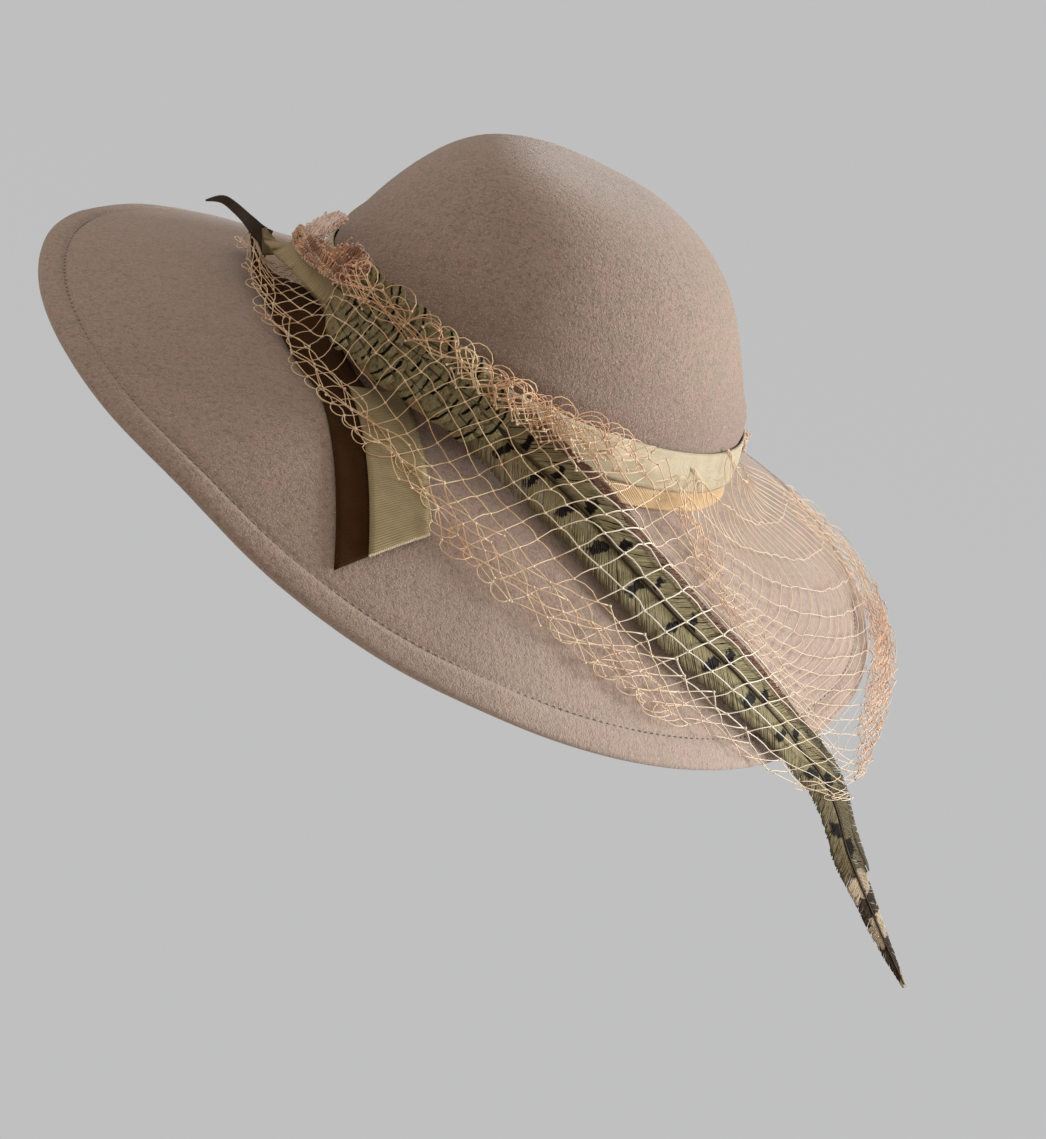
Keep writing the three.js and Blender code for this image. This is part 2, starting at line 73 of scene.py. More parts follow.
def photo_camera():
    """A camera that puts the middle of the head opening where the photo has it."""
    back = Vector((
        math.sin(VIEW_TURN) * math.cos(VIEW_RISE),
        -math.cos(VIEW_TURN) * math.cos(VIEW_RISE),
        math.sin(VIEW_RISE),
    ))
    level = (-back).cross(Vector((0, 0, 1))).normalized()
    upright = level.cross(-back)
    side = level * math.cos(VIEW_ROLL) + upright * math.sin(VIEW_ROLL)
    top = upright * math.cos(VIEW_ROLL) - level * math.sin(VIEW_ROLL)
    eye = back * VIEW_AWAY
    per_px = VIEW_AWAY / FOCAL_PX
    aim = side * ((PHOTO_WIDE / 2 - HAT_MIDDLE_PX[0]) * per_px)
    aim -= top * ((PHOTO_TALL / 2 - HAT_MIDDLE_PX[1]) * per_px)
    ahead = (aim - eye).normalized()
    side = (side - ahead * side.dot(ahead)).normalized()
    turned = Matrix((side, side.cross(ahead), -ahead)).transposed()
    data = bpy.data.cameras.new("camera")
    data.sensor_fit = "VERTICAL"
    data.sensor_height = SENSOR
    data.lens = FOCAL_PX / PHOTO_TALL * SENSOR
    camera = bpy.data.objects.new("camera", data)
    camera.matrix_world = Matrix.Translation(eye) @ turned.to_4x4()
    bpy.context.scene.collection.objects.link(camera)
    return camera


bpy.context.scene.camera = photo_camera()
print("lens:", round(bpy.context.scene.camera.data.lens, 1))

# %% [markdown]
# Writing a finish
#
# A finish is a small program of nodes. Written out node by node it is hard to read, so a wire from a
# node can be added, multiplied and compared here as a number can, and each sum becomes a Math node.


# %% Wires and finishes
class Wire:
    """The value that one socket gives."""

    def __init__(self, finish, socket):
        self.finish = finish
        self.socket = socket

    def math(self, operation, *values):
        inputs = dict(enumerate(values))
        return self.finish.node("ShaderNodeMath", {"operation": operation}, inputs)

    def __add__(self, other):
        return self.math("ADD", self, other)

    def __sub__(self, other):
        return self.math("SUBTRACT", self, other)

    def __rsub__(self, other):
        return self.math("SUBTRACT", other, self)

    def __mul__(self, other):
        return self.math("MULTIPLY", self, other)

    def __truediv__(self, other):
        return self.math("DIVIDE", self, other)

    __radd__ = __add__
    __rmul__ = __mul__

    def wave(self):
        return self.math("SINE", self)

    def size(self):
        return self.math("ABSOLUTE", self)

    def part(self):
        return self.math("FRACT", self)

    def most(self, other):
        return self.math("MAXIMUM", self, other)

    def step(self, low, high):
        """Rises smoothly from 0 to 1 as the value goes from low to high."""
        settings = {"interpolation_type": "SMOOTHSTEP"}
        return self.finish.node("ShaderNodeMapRange", settings, {0: self, 1: low, 2: high})


class Finish:
    """A material, with its shader's fixed values given by name."""

    def __init__(self, name, **fixed):
        self.material = bpy.data.materials.new(name)
        self.material.use_nodes = True
        self.nodes = self.material.node_tree.nodes
        self.links = self.material.node_tree.links
        self.shader = self.nodes["Principled BSDF"]
        for key, value in fixed.items():
            self.shader.inputs[key.replace("_", " ").title().replace("Ior", "IOR")].default_value = value

    def node(self, kind, settings, inputs, output=0):
        """Adds a node, with its settings first and then its sockets' values or wires."""
        made = self.nodes.new(kind)
        for key, value in settings.items():
            setattr(made, key, value)
        for key, value in inputs.items():
            if isinstance(value, Wire):
                self.links.new(value.socket, made.inputs[key])
            else:
                made.inputs[key].default_value = value
        return Wire(self, made.outputs[output])

    def feed(self, name, wire):
        self.links.new(wire.socket, self.shader.inputs[name])

    def place(self):
        """Where a point is on the hat, in metres."""
        return self.node("ShaderNodeTexCoord", {}, {}, "Object")

    def across(self):
        """The two coordinates that a piece carries in its own map."""
        uv = self.node("ShaderNodeUVMap", {"uv_map": "UVMap"}, {})
        return [self.node("ShaderNodeSeparateXYZ", {}, {0: uv}, k) for k in range(2)]

    def speckle(self, where, spacing, detail=2.0, rough=0.5):
        """Noise whose grains are about that many metres across."""
        inputs = {"Vector": where, "Scale": 1 / spacing, "Detail": detail, "Roughness": rough}
        return self.node("ShaderNodeTexNoise", {}, inputs)

    def mix(self, share, low, high):
        """A colour between two others."""
        settings = {"data_type": "RGBA"}
        return self.node("ShaderNodeMix", settings, {0: share, 6: low, 7: high}, 2)

    def bump(self, height, depth):
        """Tilts the surface by a height of up to that many metres."""
        wire = self.node("ShaderNodeBump", {}, {"Height": height, "Distance": depth})
        self.feed("Normal", wire)


def rgb(red, green, blue):
    """A colour as the screen shows it, from 0 to 255, turned to the light that it stands for."""
    shares = (red / 255, green / 255, blue / 255)
    return (*[s / 12.92 if s < 0.04045 else ((s + 0.055) / 1.055) ** 2.4 for s in shares], 1)


print("felt brown:", [round(c, 3) for c in rgb(150, 130, 115)])

# %% [markdown]
# Felt
#
# Wool felt is a mat of fine fibres. Close up it is heathered, pale fibres over darker ones, with a short
# nap that scatters light at grazing angles, which the shader calls sheen. Two sizes of noise give the
# clouding and the fibres, and the finer one also raises the surface.


# %% Felt finish
def felt_finish():
    felt = Finish("felt", roughness=0.95, specular_ior_level=0.1, sheen_weight=0.3,
                  sheen_roughness=0.5, sheen_tint=(1.0, 0.94, 0.88, 1))
    where = felt.place()
    clouds = felt.speckle(where, 0.006, 3.0).step(0.38, 0.62)
    clumps = felt.speckle(where, 0.0018, 3.0, 0.65)
    fibres = felt.speckle(where, 0.0006, 2.0, 0.6)
    ground = felt.mix(clouds, rgb(157, 127, 109), rgb(150, 126, 104))
    x, y, z = [felt.node("ShaderNodeSeparateXYZ", {}, {0: where}, k) for k in range(3)]
    # Painted highlight: the brim is painted lighter towards the wearer's left and the front, the lamp's
    # side, and has fewer dark clumps there.
    painted_light_side = (x * 0.8 - y * 0.3).step(0.02, 0.13) * (1 - z.step(-0.006, 0.012))
    # Painted shade: the lower crown, round and just above the hatband, is painted darker.
    foot = z.step(0.0, 0.012) * (1 - z.step(0.02, 0.06))
    painted_light_and_shade = felt.mix(foot * 0.6, felt.mix(painted_light_side * 0.48, ground, rgb(190, 163, 144)), rgb(124, 98, 82))
    dark = felt.mix((1 - clumps).step(0.44, 0.7) * (0.65 - painted_light_side * 0.35), painted_light_and_shade, rgb(118, 93, 78))
    pale = felt.mix(fibres.step(0.48, 0.72) * 0.6, dark, rgb(190, 163, 145))
    felt.feed("Base Color", pale)
    felt.bump(clumps * 0.6 + fibres * 0.4, 0.0008)
    return felt.material


FELT_FINISH = felt_finish()
print("finish:", FELT_FINISH.name)

# %% [markdown]
# The block
#
# Felt takes the shape of the wooden block that it is pulled over. The block is described here once, as
# places on its skin: an angle round the head, a distance down from the turn of the brim, and a lift over
# the felt. Everything that is sewn to the hat is laid out in the same three numbers, so that it lies on
# the felt.

# %% Measures of the block
HALF_WIDTH = 86.5
HALF_DEPTH = 100.5
WALL_HEIGHT = 27
CROWN_TOP = 87
CROWN_TAPER = 0.965
CROWN_POWER = 3.6
CROWN_LEAN = -7
DOME_RUN = 100
LIP_ROLL = 1.2
BRIM_WIDTH = 95.5
BRIM_SHOULDER = 0.45
BREAK_RADIUS = 6
FELT = 2.5

# How far the rim hangs below the turn of the brim, every 15 degrees from the wearer's left over the back
RIM_DROPS = [58, 44, 33, 24, 19, 20, 23, 26, 28, 28, 26, 24, 24, 24, 27, 30, 34, 38, 49, 56, 59, 61, 61, 60]


def clamp(value, low=0, high=1):
    return min(max(value, low), high)


def smooth(a, b, c, d, f):
    """A smooth curve through four evenly spaced values, from the second to the third."""
    bend = 2 * a - 5 * b + 4 * c - d
    twist = -a + 3 * b - 3 * c + d
    return 0.5 * (2 * b + (c - a) * f + bend * f * f + twist * f**3)


def rim_drop(angle):
    at = (angle / (2 * math.pi)) % 1 * len(RIM_DROPS)
    i = int(at)
    around = [RIM_DROPS[(i + k) % len(RIM_DROPS)] for k in (-1, 0, 1, 2)]
    return smooth(*around, at - i)


def brim_point(angle, down):
    share = down / BRIM_WIDTH
    drop = rim_drop(angle)
    reach = math.sqrt(BRIM_WIDTH**2 - drop**2)
    fall = BRIM_SHOULDER * share + (1 - BRIM_SHOULDER) * share**2
    out = reach * share
    x = (HALF_WIDTH + out) * math.cos(angle)
    return Vector((x, (HALF_DEPTH + out) * math.sin(angle), -drop * fall))


def crown_point(angle, down):
    height = min(-down, WALL_HEIGHT)
    share = clamp(1 + (down + WALL_HEIGHT) / DOME_RUN)
    risen = 1 - share**CROWN_POWER
    z = height + (CROWN_TOP - WALL_HEIGHT) * risen
    taper = 1 - (1 - CROWN_TAPER) * height / WALL_HEIGHT
    roll = LIP_ROLL * math.exp(-(((z - WALL_HEIGHT - 5) / 4) ** 2))
    x = (HALF_WIDTH * taper * share + roll) * math.cos(angle) + CROWN_LEAN * risen
    return Vector((x, (HALF_DEPTH * taper * share + roll) * math.sin(angle), z))


def skin(angle, down, ease):
    """The outside of the felt. The turn from wall to brim is a curve that starts this far from it."""
    if abs(down) >= ease:
        return brim_point(angle, down) if down > 0 else crown_point(angle, down)
    f = (down + ease) / (2 * ease)
    wall = crown_point(angle, -ease) * (1 - f) ** 2
    return wall + brim_point(angle, 0) * (2 * f * (1 - f)) + brim_point(angle, ease) * f**2


def outwards(angle, down, ease):
    step = 0.001
    along_profile = skin(angle, down + step, ease) - skin(angle, down - step, ease)
    along_ring = skin(angle + step, down, ease) - skin(angle - step, down, ease)
    face = along_profile.cross(along_ring)
    return face.normalized() if face.length > 1e-12 else Vector((0, 0, 1))


def cap(angle, down, lift, ease=BREAK_RADIUS):
    return skin(angle, down, ease) + outwards(angle, down, ease) * lift


print("rim at the front:", [round(c, 1) for c in cap(math.radians(-90), BRIM_WIDTH, 0)])

# %% [markdown]
# The felt cap
#
# Blocking turns a flat disc of felt into a hat, and the script does the same. A profile is spun into a
# flat disc with the thickness of the felt and a puffed, turned edge. Each of its points then moves from
# its place on the disc to the same place on the block.

# %% Pieces of the hat
FLAT_MIDDLE = WALL_HEIGHT + DOME_RUN


def show(name, mesh, finish):
    """Makes an object with smooth faces out of a mesh."""
    for face in mesh.faces:
        face.smooth = True
    data = bpy.data.meshes.new(name)
    mesh.to_mesh(data)
    mesh.free()
    data.materials.append(finish)
    made = bpy.data.objects.new(name, data)
    bpy.context.scene.collection.objects.link(made)
    return made


def piece(name, mesh, finish, slot, replaces=()):
    """Writes a mesh out in metres, as a piece that rides on the hat."""
    bmesh.ops.scale(mesh, vec=(MM, MM, MM), verts=mesh.verts[:])
    made = show(name, mesh, finish)
    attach(made, "root")
    if replaces:
        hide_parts(*replaces)
    print(name, len(made.data.polygons), "faces")
    return made


def spun(outline, steps, closed=False, near=0.001):
    """Spins an outline of (radius, height) places once round the middle."""
    mesh = bmesh.new()
    chain = [mesh.verts.new((radius, 0, height)) for radius, height in outline]
    pairs = list(zip(chain, chain[1:]))
    if closed:
        pairs.append((chain[-1], chain[0]))
    edges = [mesh.edges.new(pair) for pair in pairs]
    bmesh.ops.spin(mesh, geom=chain + edges, cent=(0, 0, 0), axis=(0, 0, 1),
                   angle=2 * math.pi, steps=steps, use_merge=True)
    bmesh.ops.remove_doubles(mesh, verts=mesh.verts[:], dist=near)
    bmesh.ops.recalc_face_normals(mesh, faces=mesh.faces[:])
    return mesh


def blocked(profile, steps, closed, waviness):
    """Spins a profile of (down, lift) places into a flat disc or ring, and blocks it."""
    mesh = spun([(FLAT_MIDDLE + down, lift) for down, lift in profile], steps, closed)
    for vert in mesh.verts:
        angle = math.atan2(vert.co.y, vert.co.x)
        down = vert.co.xy.length - FLAT_MIDDLE
        vert.co = cap(angle, down, vert.co.z + waviness(angle, down))
    return mesh


print("flat disc across:", 2 * (FLAT_MIDDLE + BRIM_WIDTH))

# %% Felt cap
HEM_WIDTH = 9
HEM_RISE = 0.7
HEM_DROP = 1.3
STITCH_GROOVE = 0.5
HEM = BRIM_WIDTH - HEM_WIDTH
FELT_STEPS = 240


def evenly(start, end, count):
    return [start + (end - start) * k / count for k in range(count)]


def felt_profile():
    top = [(-FLAT_MIDDLE + DOME_RUN * math.sin(s * math.pi / 2), 0) for s in evenly(0, 1, 40)]
    outside = [(down, 0) for down in [*evenly(-WALL_HEIGHT, 8, 30), *evenly(8, HEM - 3, 32)]]
    hem = [
        (HEM - 2, 0), (HEM - 0.9, -0.15), (HEM, -STITCH_GROOVE), (HEM + 0.7, -0.2),
        (HEM + 1.5, HEM_RISE * 0.6), (HEM + 2.6, HEM_RISE * 0.95), (HEM + 5, HEM_RISE),
        (HEM + 7, HEM_RISE * 0.9), (BRIM_WIDTH - 1, HEM_RISE * 0.55), (BRIM_WIDTH - 0.25, -0.2),
        (BRIM_WIDTH, -1.1), (BRIM_WIDTH, -2), (BRIM_WIDTH - 0.25, -2.8),
        (BRIM_WIDTH - 1, -FELT - HEM_DROP * 0.8), (HEM + 6, -FELT - HEM_DROP),
        (HEM + 2, -FELT - HEM_DROP * 0.9), (HEM, -FELT - 0.2), (HEM - 1.5, -FELT),
    ]
    under = [(down, -FELT) for down in [*evenly(HEM - 3, 8, 20), *evenly(8, -WALL_HEIGHT, 20)]]
    inside = [(-FLAT_MIDDLE + DOME_RUN * math.sin(s * math.pi / 2), -FELT) for s in evenly(1, 0, 20)]
    return [*top, *outside, *hem, *under, *inside, (-FLAT_MIDDLE, -FELT)]


def felt_unevenness(angle, down):
    """Felt is never quite even: it swells and sinks by a few tenths over the width of a hand."""
    where = skin(angle, down, BREAK_RADIUS)
    return 0.45 * noise.noise(where / 32) + 0.12 * noise.noise(where / 9)


piece("felt_cap", blocked(felt_profile(), FELT_STEPS, False, felt_unevenness), FELT_FINISH, "felt",
      ["felt_body"])

# %% [markdown]
# The stitched edge
#
# The turned edge is held by a line of machine stitches in matching thread, which pulls a groove into the
# felt. Each stitch is a small stretched ball, half sunk in the groove.

# %% Stitches
STITCH_PITCH = 3.4
STITCH_LONG = 2.3
STITCH_THICK = 0.6
STITCH_ROUND = 182


def thread_finish():
    thread = Finish("stitch_thread", roughness=0.7, sheen_weight=0.2)
    grain = thread.speckle(thread.place(), 0.0008)
    thread.feed("Base Color", thread.mix(grain, rgb(120, 101, 87), rgb(158, 138, 120)))
    return thread.material


def hem_stitches():
    mesh = bmesh.new()
    count = round(2 * math.pi * STITCH_ROUND / STITCH_PITCH)
    for k in range(count):
        angle = 2 * math.pi * k / count
        here = cap(angle, HEM, -STITCH_GROOVE + 0.1)
        ahead = (cap(angle + 0.01, HEM, 0) - cap(angle - 0.01, HEM, 0)).normalized()
        face = outwards(angle, HEM, BREAK_RADIUS)
        turned = Matrix((ahead, face.cross(ahead), face)).transposed().to_4x4()
        size = Matrix.Diagonal((STITCH_LONG / 2, STITCH_THICK / 2, STITCH_THICK / 2, 1))
        bmesh.ops.create_icosphere(mesh, subdivisions=1, radius=1,
                                   matrix=Matrix.Translation(here) @ turned @ size)
    return mesh


piece("hem_stitches", hem_stitches(), thread_finish(), "felt")

# %% [markdown]
# Ribbon finishes
#
# Petersham and grosgrain ribbons have a fine rib across them and a soft gloss along it. The rib is a
# sine wave on the ribbon's own map, whose first coordinate runs along it in millimetres and whose second
# runs across it.


# %% Ribbon finishes
def ribbon_finish(name, low, high, rib, rough, gloss, streaks):
    ribbon = Finish(name, roughness=rough, specular_ior_level=gloss,
                    sheen_weight=gloss / 2, sheen_roughness=0.4)
    run, over = ribbon.across()
    where = ribbon.place()
    ribs = (run * (2 * math.pi / rib)).wave() * 0.5 + 0.5
    cloth = ribbon.speckle(where, 0.006, 3.0)
    fine = ribbon.speckle(where, 0.0009, 2.0)
    shade = cloth * (1 - streaks) + fine * 0.25 + ribs * streaks
    edge = (over * 2 - 1).size().step(0.9, 0.98)
    ribbon.feed("Base Color", ribbon.mix(edge * 0.35, ribbon.mix(shade, low, high), low))
    ribbon.bump(ribs + fine * 0.4, 0.00018)
    return ribbon.material


CREAM_FINISH = ribbon_finish("cream_ribbon", rgb(194, 169, 130), rgb(242, 217, 176), 0.3, 0.45, 0.3, 0.25)
TAN_FINISH = ribbon_finish("tan_ribbon", rgb(184, 142, 92), rgb(218, 178, 126), 0.9, 0.45, 0.3, 0.15)
GOLD_FINISH = ribbon_finish("gold_ribbon", rgb(124, 103, 70), rgb(170, 147, 106), 0.85, 0.7, 0.15, 0.4)
TAUPE_FINISH = ribbon_finish("taupe_ribbon", rgb(66, 53, 44), rgb(98, 82, 70), 0.6, 0.8, 0.1, 0.12)
BROWN_FINISH = ribbon_finish("brown_ribbon", rgb(50, 27, 9), rgb(70, 42, 18), 0.6, 0.9, 0.05, 0.12)
print("ribbon finishes:", 5)

# %% [markdown]
# The hatband
#
# Two ribbons go round the foot of the crown: a cream one over a tan one, which shows below it. They are
# spun as the felt is, from a thin closed profile with a rolled edge, and given a little slack.

# %% Hatband
AIR = 0.35
RIBBON = 1
BAND_STEPS = 200
BAND_THICK = 0.7
BAND_SWELL = 0.25


def strip_profile(top, foot, lift, thick, bulge):
    """The section of a ribbon that stands on the wall of the crown: its outer side, then its inner.

    Its foot is lifted off the wall, and its top edge lies close to it."""
    shares = evenly(0, 1, 12) + [1]
    downs = [-top + (top - foot) * s for s in shares]
    swell = [bulge * math.sin(math.pi * s) for s in shares]
    lifts = [AIR + (lift - AIR) * min(1, 1.6 * s) for s in shares]
    outer = [(d, off + thick + b) for d, off, b in zip(downs, lifts, swell)]
    inner = [(d, off + b * 0.5) for d, off, b in zip(downs, lifts, swell)]
    return [*outer, *reversed(inner)]


def band(name, top, foot, lift, finish, slot, node, seed):
    def slack(angle, down):
        round_it = Vector((math.cos(angle) * 3, math.sin(angle) * 3, down / 9 + seed))
        fold = 0.25 * math.sin(down * 0.9 + 3 * math.sin(angle * 2 + seed))
        return 0.5 * max(0, noise.noise(round_it) + 0.2) + 0.5 * max(0, fold)

    mesh = blocked(strip_profile(top, foot, lift, BAND_THICK, BAND_SWELL), BAND_STEPS, True, slack)
    uv = mesh.loops.layers.uv.new("UVMap")
    for face in mesh.faces:
        middle = math.atan2(*face.calc_center_median().yx)
        for loop in face.loops:
            x, y, z = loop.vert.co
            angle = math.atan2(y, x)
            if angle - middle > math.pi:
                angle -= 2 * math.pi
            if middle - angle > math.pi:
                angle += 2 * math.pi
            loop[uv].uv = (angle * HALF_DEPTH, (z - foot) / (top - foot))
    made = piece(name, mesh, finish, slot, [node])
    return made


band("hatband_tan", 12, 1.5, AIR, TAN_FINISH, "ribbon_tan", "hatband_lower", 2)
upper_band = band("hatband_cream", 25, 10, 2 * AIR + RIBBON, CREAM_FINISH, "ribbon_cream",
                  "hatband_upper", 5)

# %% [markdown]
# Flat ribbons
#
# A ribbon that lies on the brim is a flat grid of faces, with one coordinate along it and one across it.
# Each point moves to its place over the felt, and a Solidify modifier gives the ribbon its thickness.


# %% Ribbons by their path
RIBBON_THICK = 0.5


def thicken(made, thick):
    """Gives a flat piece a thickness, half of it to each side."""
    solid = made.modifiers.new("thickness", "SOLIDIFY")
    solid.thickness = thick * MM
    solid.offset = 0


def ribbon(name, length, width, place, finish, slot, node, held="laid", cut=1.0):
    """A ribbon of that length and width. Place gives its points. The cut is not used."""
    mesh = bmesh.new()
    bmesh.ops.create_grid(mesh, x_segments=max(12, round(length / 1.6)), y_segments=10, size=0.5)
    uv = mesh.loops.layers.uv.new("UVMap")
    for face in mesh.faces:
        for loop in face.loops:
            loop[uv].uv = ((loop.vert.co.x + 0.5) * length, loop.vert.co.y + 0.5)
    for vert in mesh.verts:
        vert.co = place(vert.co.x + 0.5, vert.co.y + 0.5)
    made = piece(name, mesh, finish, slot, [node])
    thicken(made, RIBBON_THICK)
    flat = (width * MM, length * MM)
    cut * flat[0] * flat[1]
    return made


def on_brim(x, y, lift):
    """The place over the felt at a point in plan."""
    angle = math.atan2(y / HALF_DEPTH, x / HALF_WIDTH)
    down = 0
    for _ in range(12):
        drop = rim_drop(angle)
        reach = math.sqrt(BRIM_WIDTH**2 - drop**2)
        span = math.hypot(HALF_WIDTH * math.cos(angle), HALF_DEPTH * math.sin(angle))
        down = (math.hypot(x, y) - span) / reach * BRIM_WIDTH
        out = reach * down / BRIM_WIDTH
        angle = math.atan2(y / (HALF_DEPTH + out), x / (HALF_WIDTH + out))
    return cap(angle, max(down, -WALL_HEIGHT), lift)


print("on the brim:", [round(c, 1) for c in on_brim(0, -150, 0)])

# %% Ribbon tails
TAIL_ROOT = (-33, -103)
TAIL_HEADING = math.radians(-48)
TAIL_SLANT = math.tan(math.radians(19))


def tail_place(start, length, edges, lift, phase):
    def place(u, v):
        over = edges[0] + (edges[1] - edges[0]) * v
        run = start + (length - over * TAIL_SLANT - start) * u
        x = TAIL_ROOT[0] + run * math.cos(TAIL_HEADING) - over * math.sin(TAIL_HEADING)
        y = TAIL_ROOT[1] + run * math.sin(TAIL_HEADING) + over * math.cos(TAIL_HEADING)
        sway = 0.35 * math.sin(run / 9 + phase) * (0.4 + 0.6 * v)
        return on_brim(x, y, lift + 0.5 + sway * min(1, u * 3))
    return place


def tail(name, course, finish, slot, node):
    start, length, edges = course[:3]
    return ribbon(name, length - start, edges[1] - edges[0], tail_place(*course), finish, slot, node)


# How far from its root a tail starts and ends, its two edges, its lift, and the phase of its sway
BROWN_COURSE = (8, 75, (-11, 11), 0.5, 1)
GOLD_COURSE = (7, 75, (0, 21), 1.9, 2)
tail("tail_brown", BROWN_COURSE, BROWN_FINISH, "ribbon_brown", "ribbon_tail_brown")
gold_tail = tail("tail_gold", GOLD_COURSE, GOLD_FINISH, "ribbon_gold", "ribbon_tail_gold")

# %% Loose yarns at the cut end of the gold tail
LOOPS = 34
LOOP_SIZE = 0.42


def template(make, **settings):
    """A small mesh that is copied many times over."""
    mesh = bmesh.new()
    make(mesh, **settings)
    data = bpy.data.meshes.new("template")
    mesh.to_mesh(data)
    mesh.free()
    return data


def scatter(mesh, shape, places):
    for place in places:
        shape.transform(place)
        mesh.from_mesh(shape)
        shape.transform(place.inverted())
    bpy.data.meshes.remove(shape)


def loose_yarns():
    mesh = bmesh.new()
    place = tail_place(*GOLD_COURSE)
    loop = template(bmesh.ops.create_icosphere, subdivisions=1, radius=LOOP_SIZE)
    spots = []
    for k in range(LOOPS):
        share = (k + 0.5) / LOOPS
        ahead = (place(1.01, share) - place(1, share)).normalized()
        jitter = 0.35 * noise.noise(Vector((k * 1.7, 0, 0)))
        turn = ahead.to_track_quat("X", "Z").to_matrix().to_4x4()
        longer = Matrix.Scale(1.9, 4, Vector((1, 0, 0)))
        spots.append(Matrix.Translation(place(1, share) + ahead * (0.3 + jitter)) @ turn @ longer)
    scatter(mesh, loop, spots)
    return mesh


piece("tail_gold_yarns", loose_yarns(), CREAM_FINISH, "ribbon_gold")

# %% [markdown]
# The bow
#
# The bow is made of folded ribbon ends. A fold is a path of places on the cap, and the ribbon's width is
# laid across the path, down the cap or straight out of it.

# %% Folded ribbons
BOW_EASE = 20
PATH_STEPS = 60


def along(values, share):
    """A smooth curve through evenly spaced values, at a share of its length."""
    at = clamp(share) * (len(values) - 1)
    i = min(int(at), len(values) - 2)
    around = [values[clamp(i + k, 0, len(values) - 1)] for k in (-1, 0, 1, 2)]
    return smooth(*around, at - i)


def path_length(points):
    return sum((b - a).length for a, b in zip(points, points[1:]))


def folded(name, path, finish, slot, node):
    """A ribbon on a path of (degrees, down, lift, width, turn) places.

    The turn, in degrees, takes the ribbon's width from down the cap to straight out of it."""
    columns = list(zip(*path))

    def middle(s):
        deg, down, lift = [along(column, s) for column in columns[:3]]
        return cap(math.radians(deg), down, lift, BOW_EASE)

    def place(u, v):
        deg, down, lift, width, turn = [along(column, u) for column in columns]
        ahead = (middle(min(u + 0.002, 1)) - middle(max(u - 0.002, 0))).normalized()
        angle = math.radians(deg)
        fall = (cap(angle, down + 1, 0, BOW_EASE) - cap(angle, down - 1, 0, BOW_EASE)).normalized()
        out = outwards(angle, down, BOW_EASE)
        side = fall * math.cos(math.radians(turn)) + out * math.sin(math.radians(turn))
        side = (side - ahead * side.dot(ahead)).normalized()
        cup = 0.05 * width * math.cos(math.pi * (v - 0.5))
        return middle(u) + side * ((v - 0.5) * width) + ahead.cross(side) * cup

    shares = [k / PATH_STEPS for k in range(PATH_STEPS + 1)]
    widths = [along(columns[3], share) for share in shares]
    length = path_length([middle(share) for share in shares])
    cut = sum(widths) / len(widths) / max(widths)
    return ribbon(name, length, max(widths), place, finish, slot, node, held="folded", cut=cut)


GOLD_LOOP = [
    (202, 18, 14, 10, 82), (203, 9, 15.5, 11, 70), (206, -6, 16, 13, 45),
    (214, -17, 14, 14, 18), (224, -19.5, 11, 14, 8), (233, -20, 8.5, 14, 0),
]
BROWN_LOOP = [
    (186, 27, 6, 11, 60), (192, 22, 6, 13, 50), (200, 15, 5.5, 15, 40), (209, 8, 4.5, 16, 20),
    (219, 5, 4, 17, 10), (229, 5, 3.5, 17, 0), (239, 9, 3, 18, 0), (249, 14, 2, 18, 0),
    (257, 18, 1.5, 18, 0),
]
POINTED_END = [
    (197, 15, 11, 11, 80), (200, 20, 15.5, 6.5, 85), (201, 25, 19.5, 4.6, 90),
    (200, 31, 22.5, 3.8, 90), (200, 36, 24.5, 3, 90), (204, 41, 25.5, 0.6, 90),
]
folded("bow_gold", GOLD_LOOP, GOLD_FINISH, "ribbon_gold", "bow_loop_gold")
brown_loop = folded("bow_brown", BROWN_LOOP, BROWN_FINISH, "ribbon_brown", "bow_loop_brown")
folded("bow_point", POINTED_END, TAUPE_FINISH, "ribbon_brown", "ribbon_pointed_end")

# %% [markdown]
# Feathers
#
# A feather is a quill with a vane on each side, and a vane is a row of hundreds of barbs that lean
# towards the tip. A grid is split into one narrow strip per barb, and each strip is laid at its own
# place, so the vane can part, fray and catch the light as a real one does.

# %% The line of the long feather
# Middle line x, y, z, half width of the vanes, and how far the face leans outwards in degrees
QUILL = [
    (-50, -83.5, 22, 6, 84), (-34, -97, 22, 8, 82), (-17, -105, 21.5, 9.5, 80), (1, -108, 19.5, 11, 76),
    (18, -106.5, 15.5, 12, 72), (34, -102.5, 10.5, 12.4, 66), (50, -98.5, 5.5, 12.6, 58),
    (67, -95.5, 0, 12.8, 52), (84, -92, -7.5, 12.8, 48), (100, -85.5, -14.5, 12.8, 48),
    (115, -77, -21.5, 12.6, 48), (129, -65.5, -28, 12, 48), (142, -52.5, -36, 10.6, 50),
    (153, -39, -44, 9.6, 52), (163, -25, -53, 9, 55), (174, -14, -61, 8, 60), (184, -4, -72, 7.6, 66),
    (194, 6, -86, 6.6, 70), (204, 14, -97, 5.4, 72), (213, 20, -106, 4.4, 72), (224, 27, -117, 3.2, 72),
    (239, 36, -131, 0.8, 72),
]
QUILL_X, QUILL_Y, QUILL_Z, QUILL_HALF, QUILL_LEAN = zip(*QUILL)


def quill_point(share):
    return Vector((along(QUILL_X, share), along(QUILL_Y, share), along(QUILL_Z, share)))


def quill_axes(share):
    """The directions along the quill, across its vanes towards the crown, and out of its face."""
    ahead = (quill_point(min(share + 0.002, 1)) - quill_point(max(share - 0.002, 0))).normalized()
    outside = ahead.cross(Vector((0, 0, 1))).normalized()
    upwards = outside.cross(ahead).normalized()
    lean = math.radians(along(QUILL_LEAN, share))
    face = upwards * math.cos(lean) + outside * math.sin(lean)
    return ahead, face.cross(ahead).normalized(), face


def beside_quill(share, across, lift):
    ahead, side, face = quill_axes(share)
    return quill_point(share) + side * across + face * lift


QUILL_PARTS = 200
QUILL_STEPS = [quill_point(k / QUILL_PARTS) for k in range(QUILL_PARTS + 1)]
QUILL_LENGTH = path_length(QUILL_STEPS)
print("quill length:", round(QUILL_LENGTH))


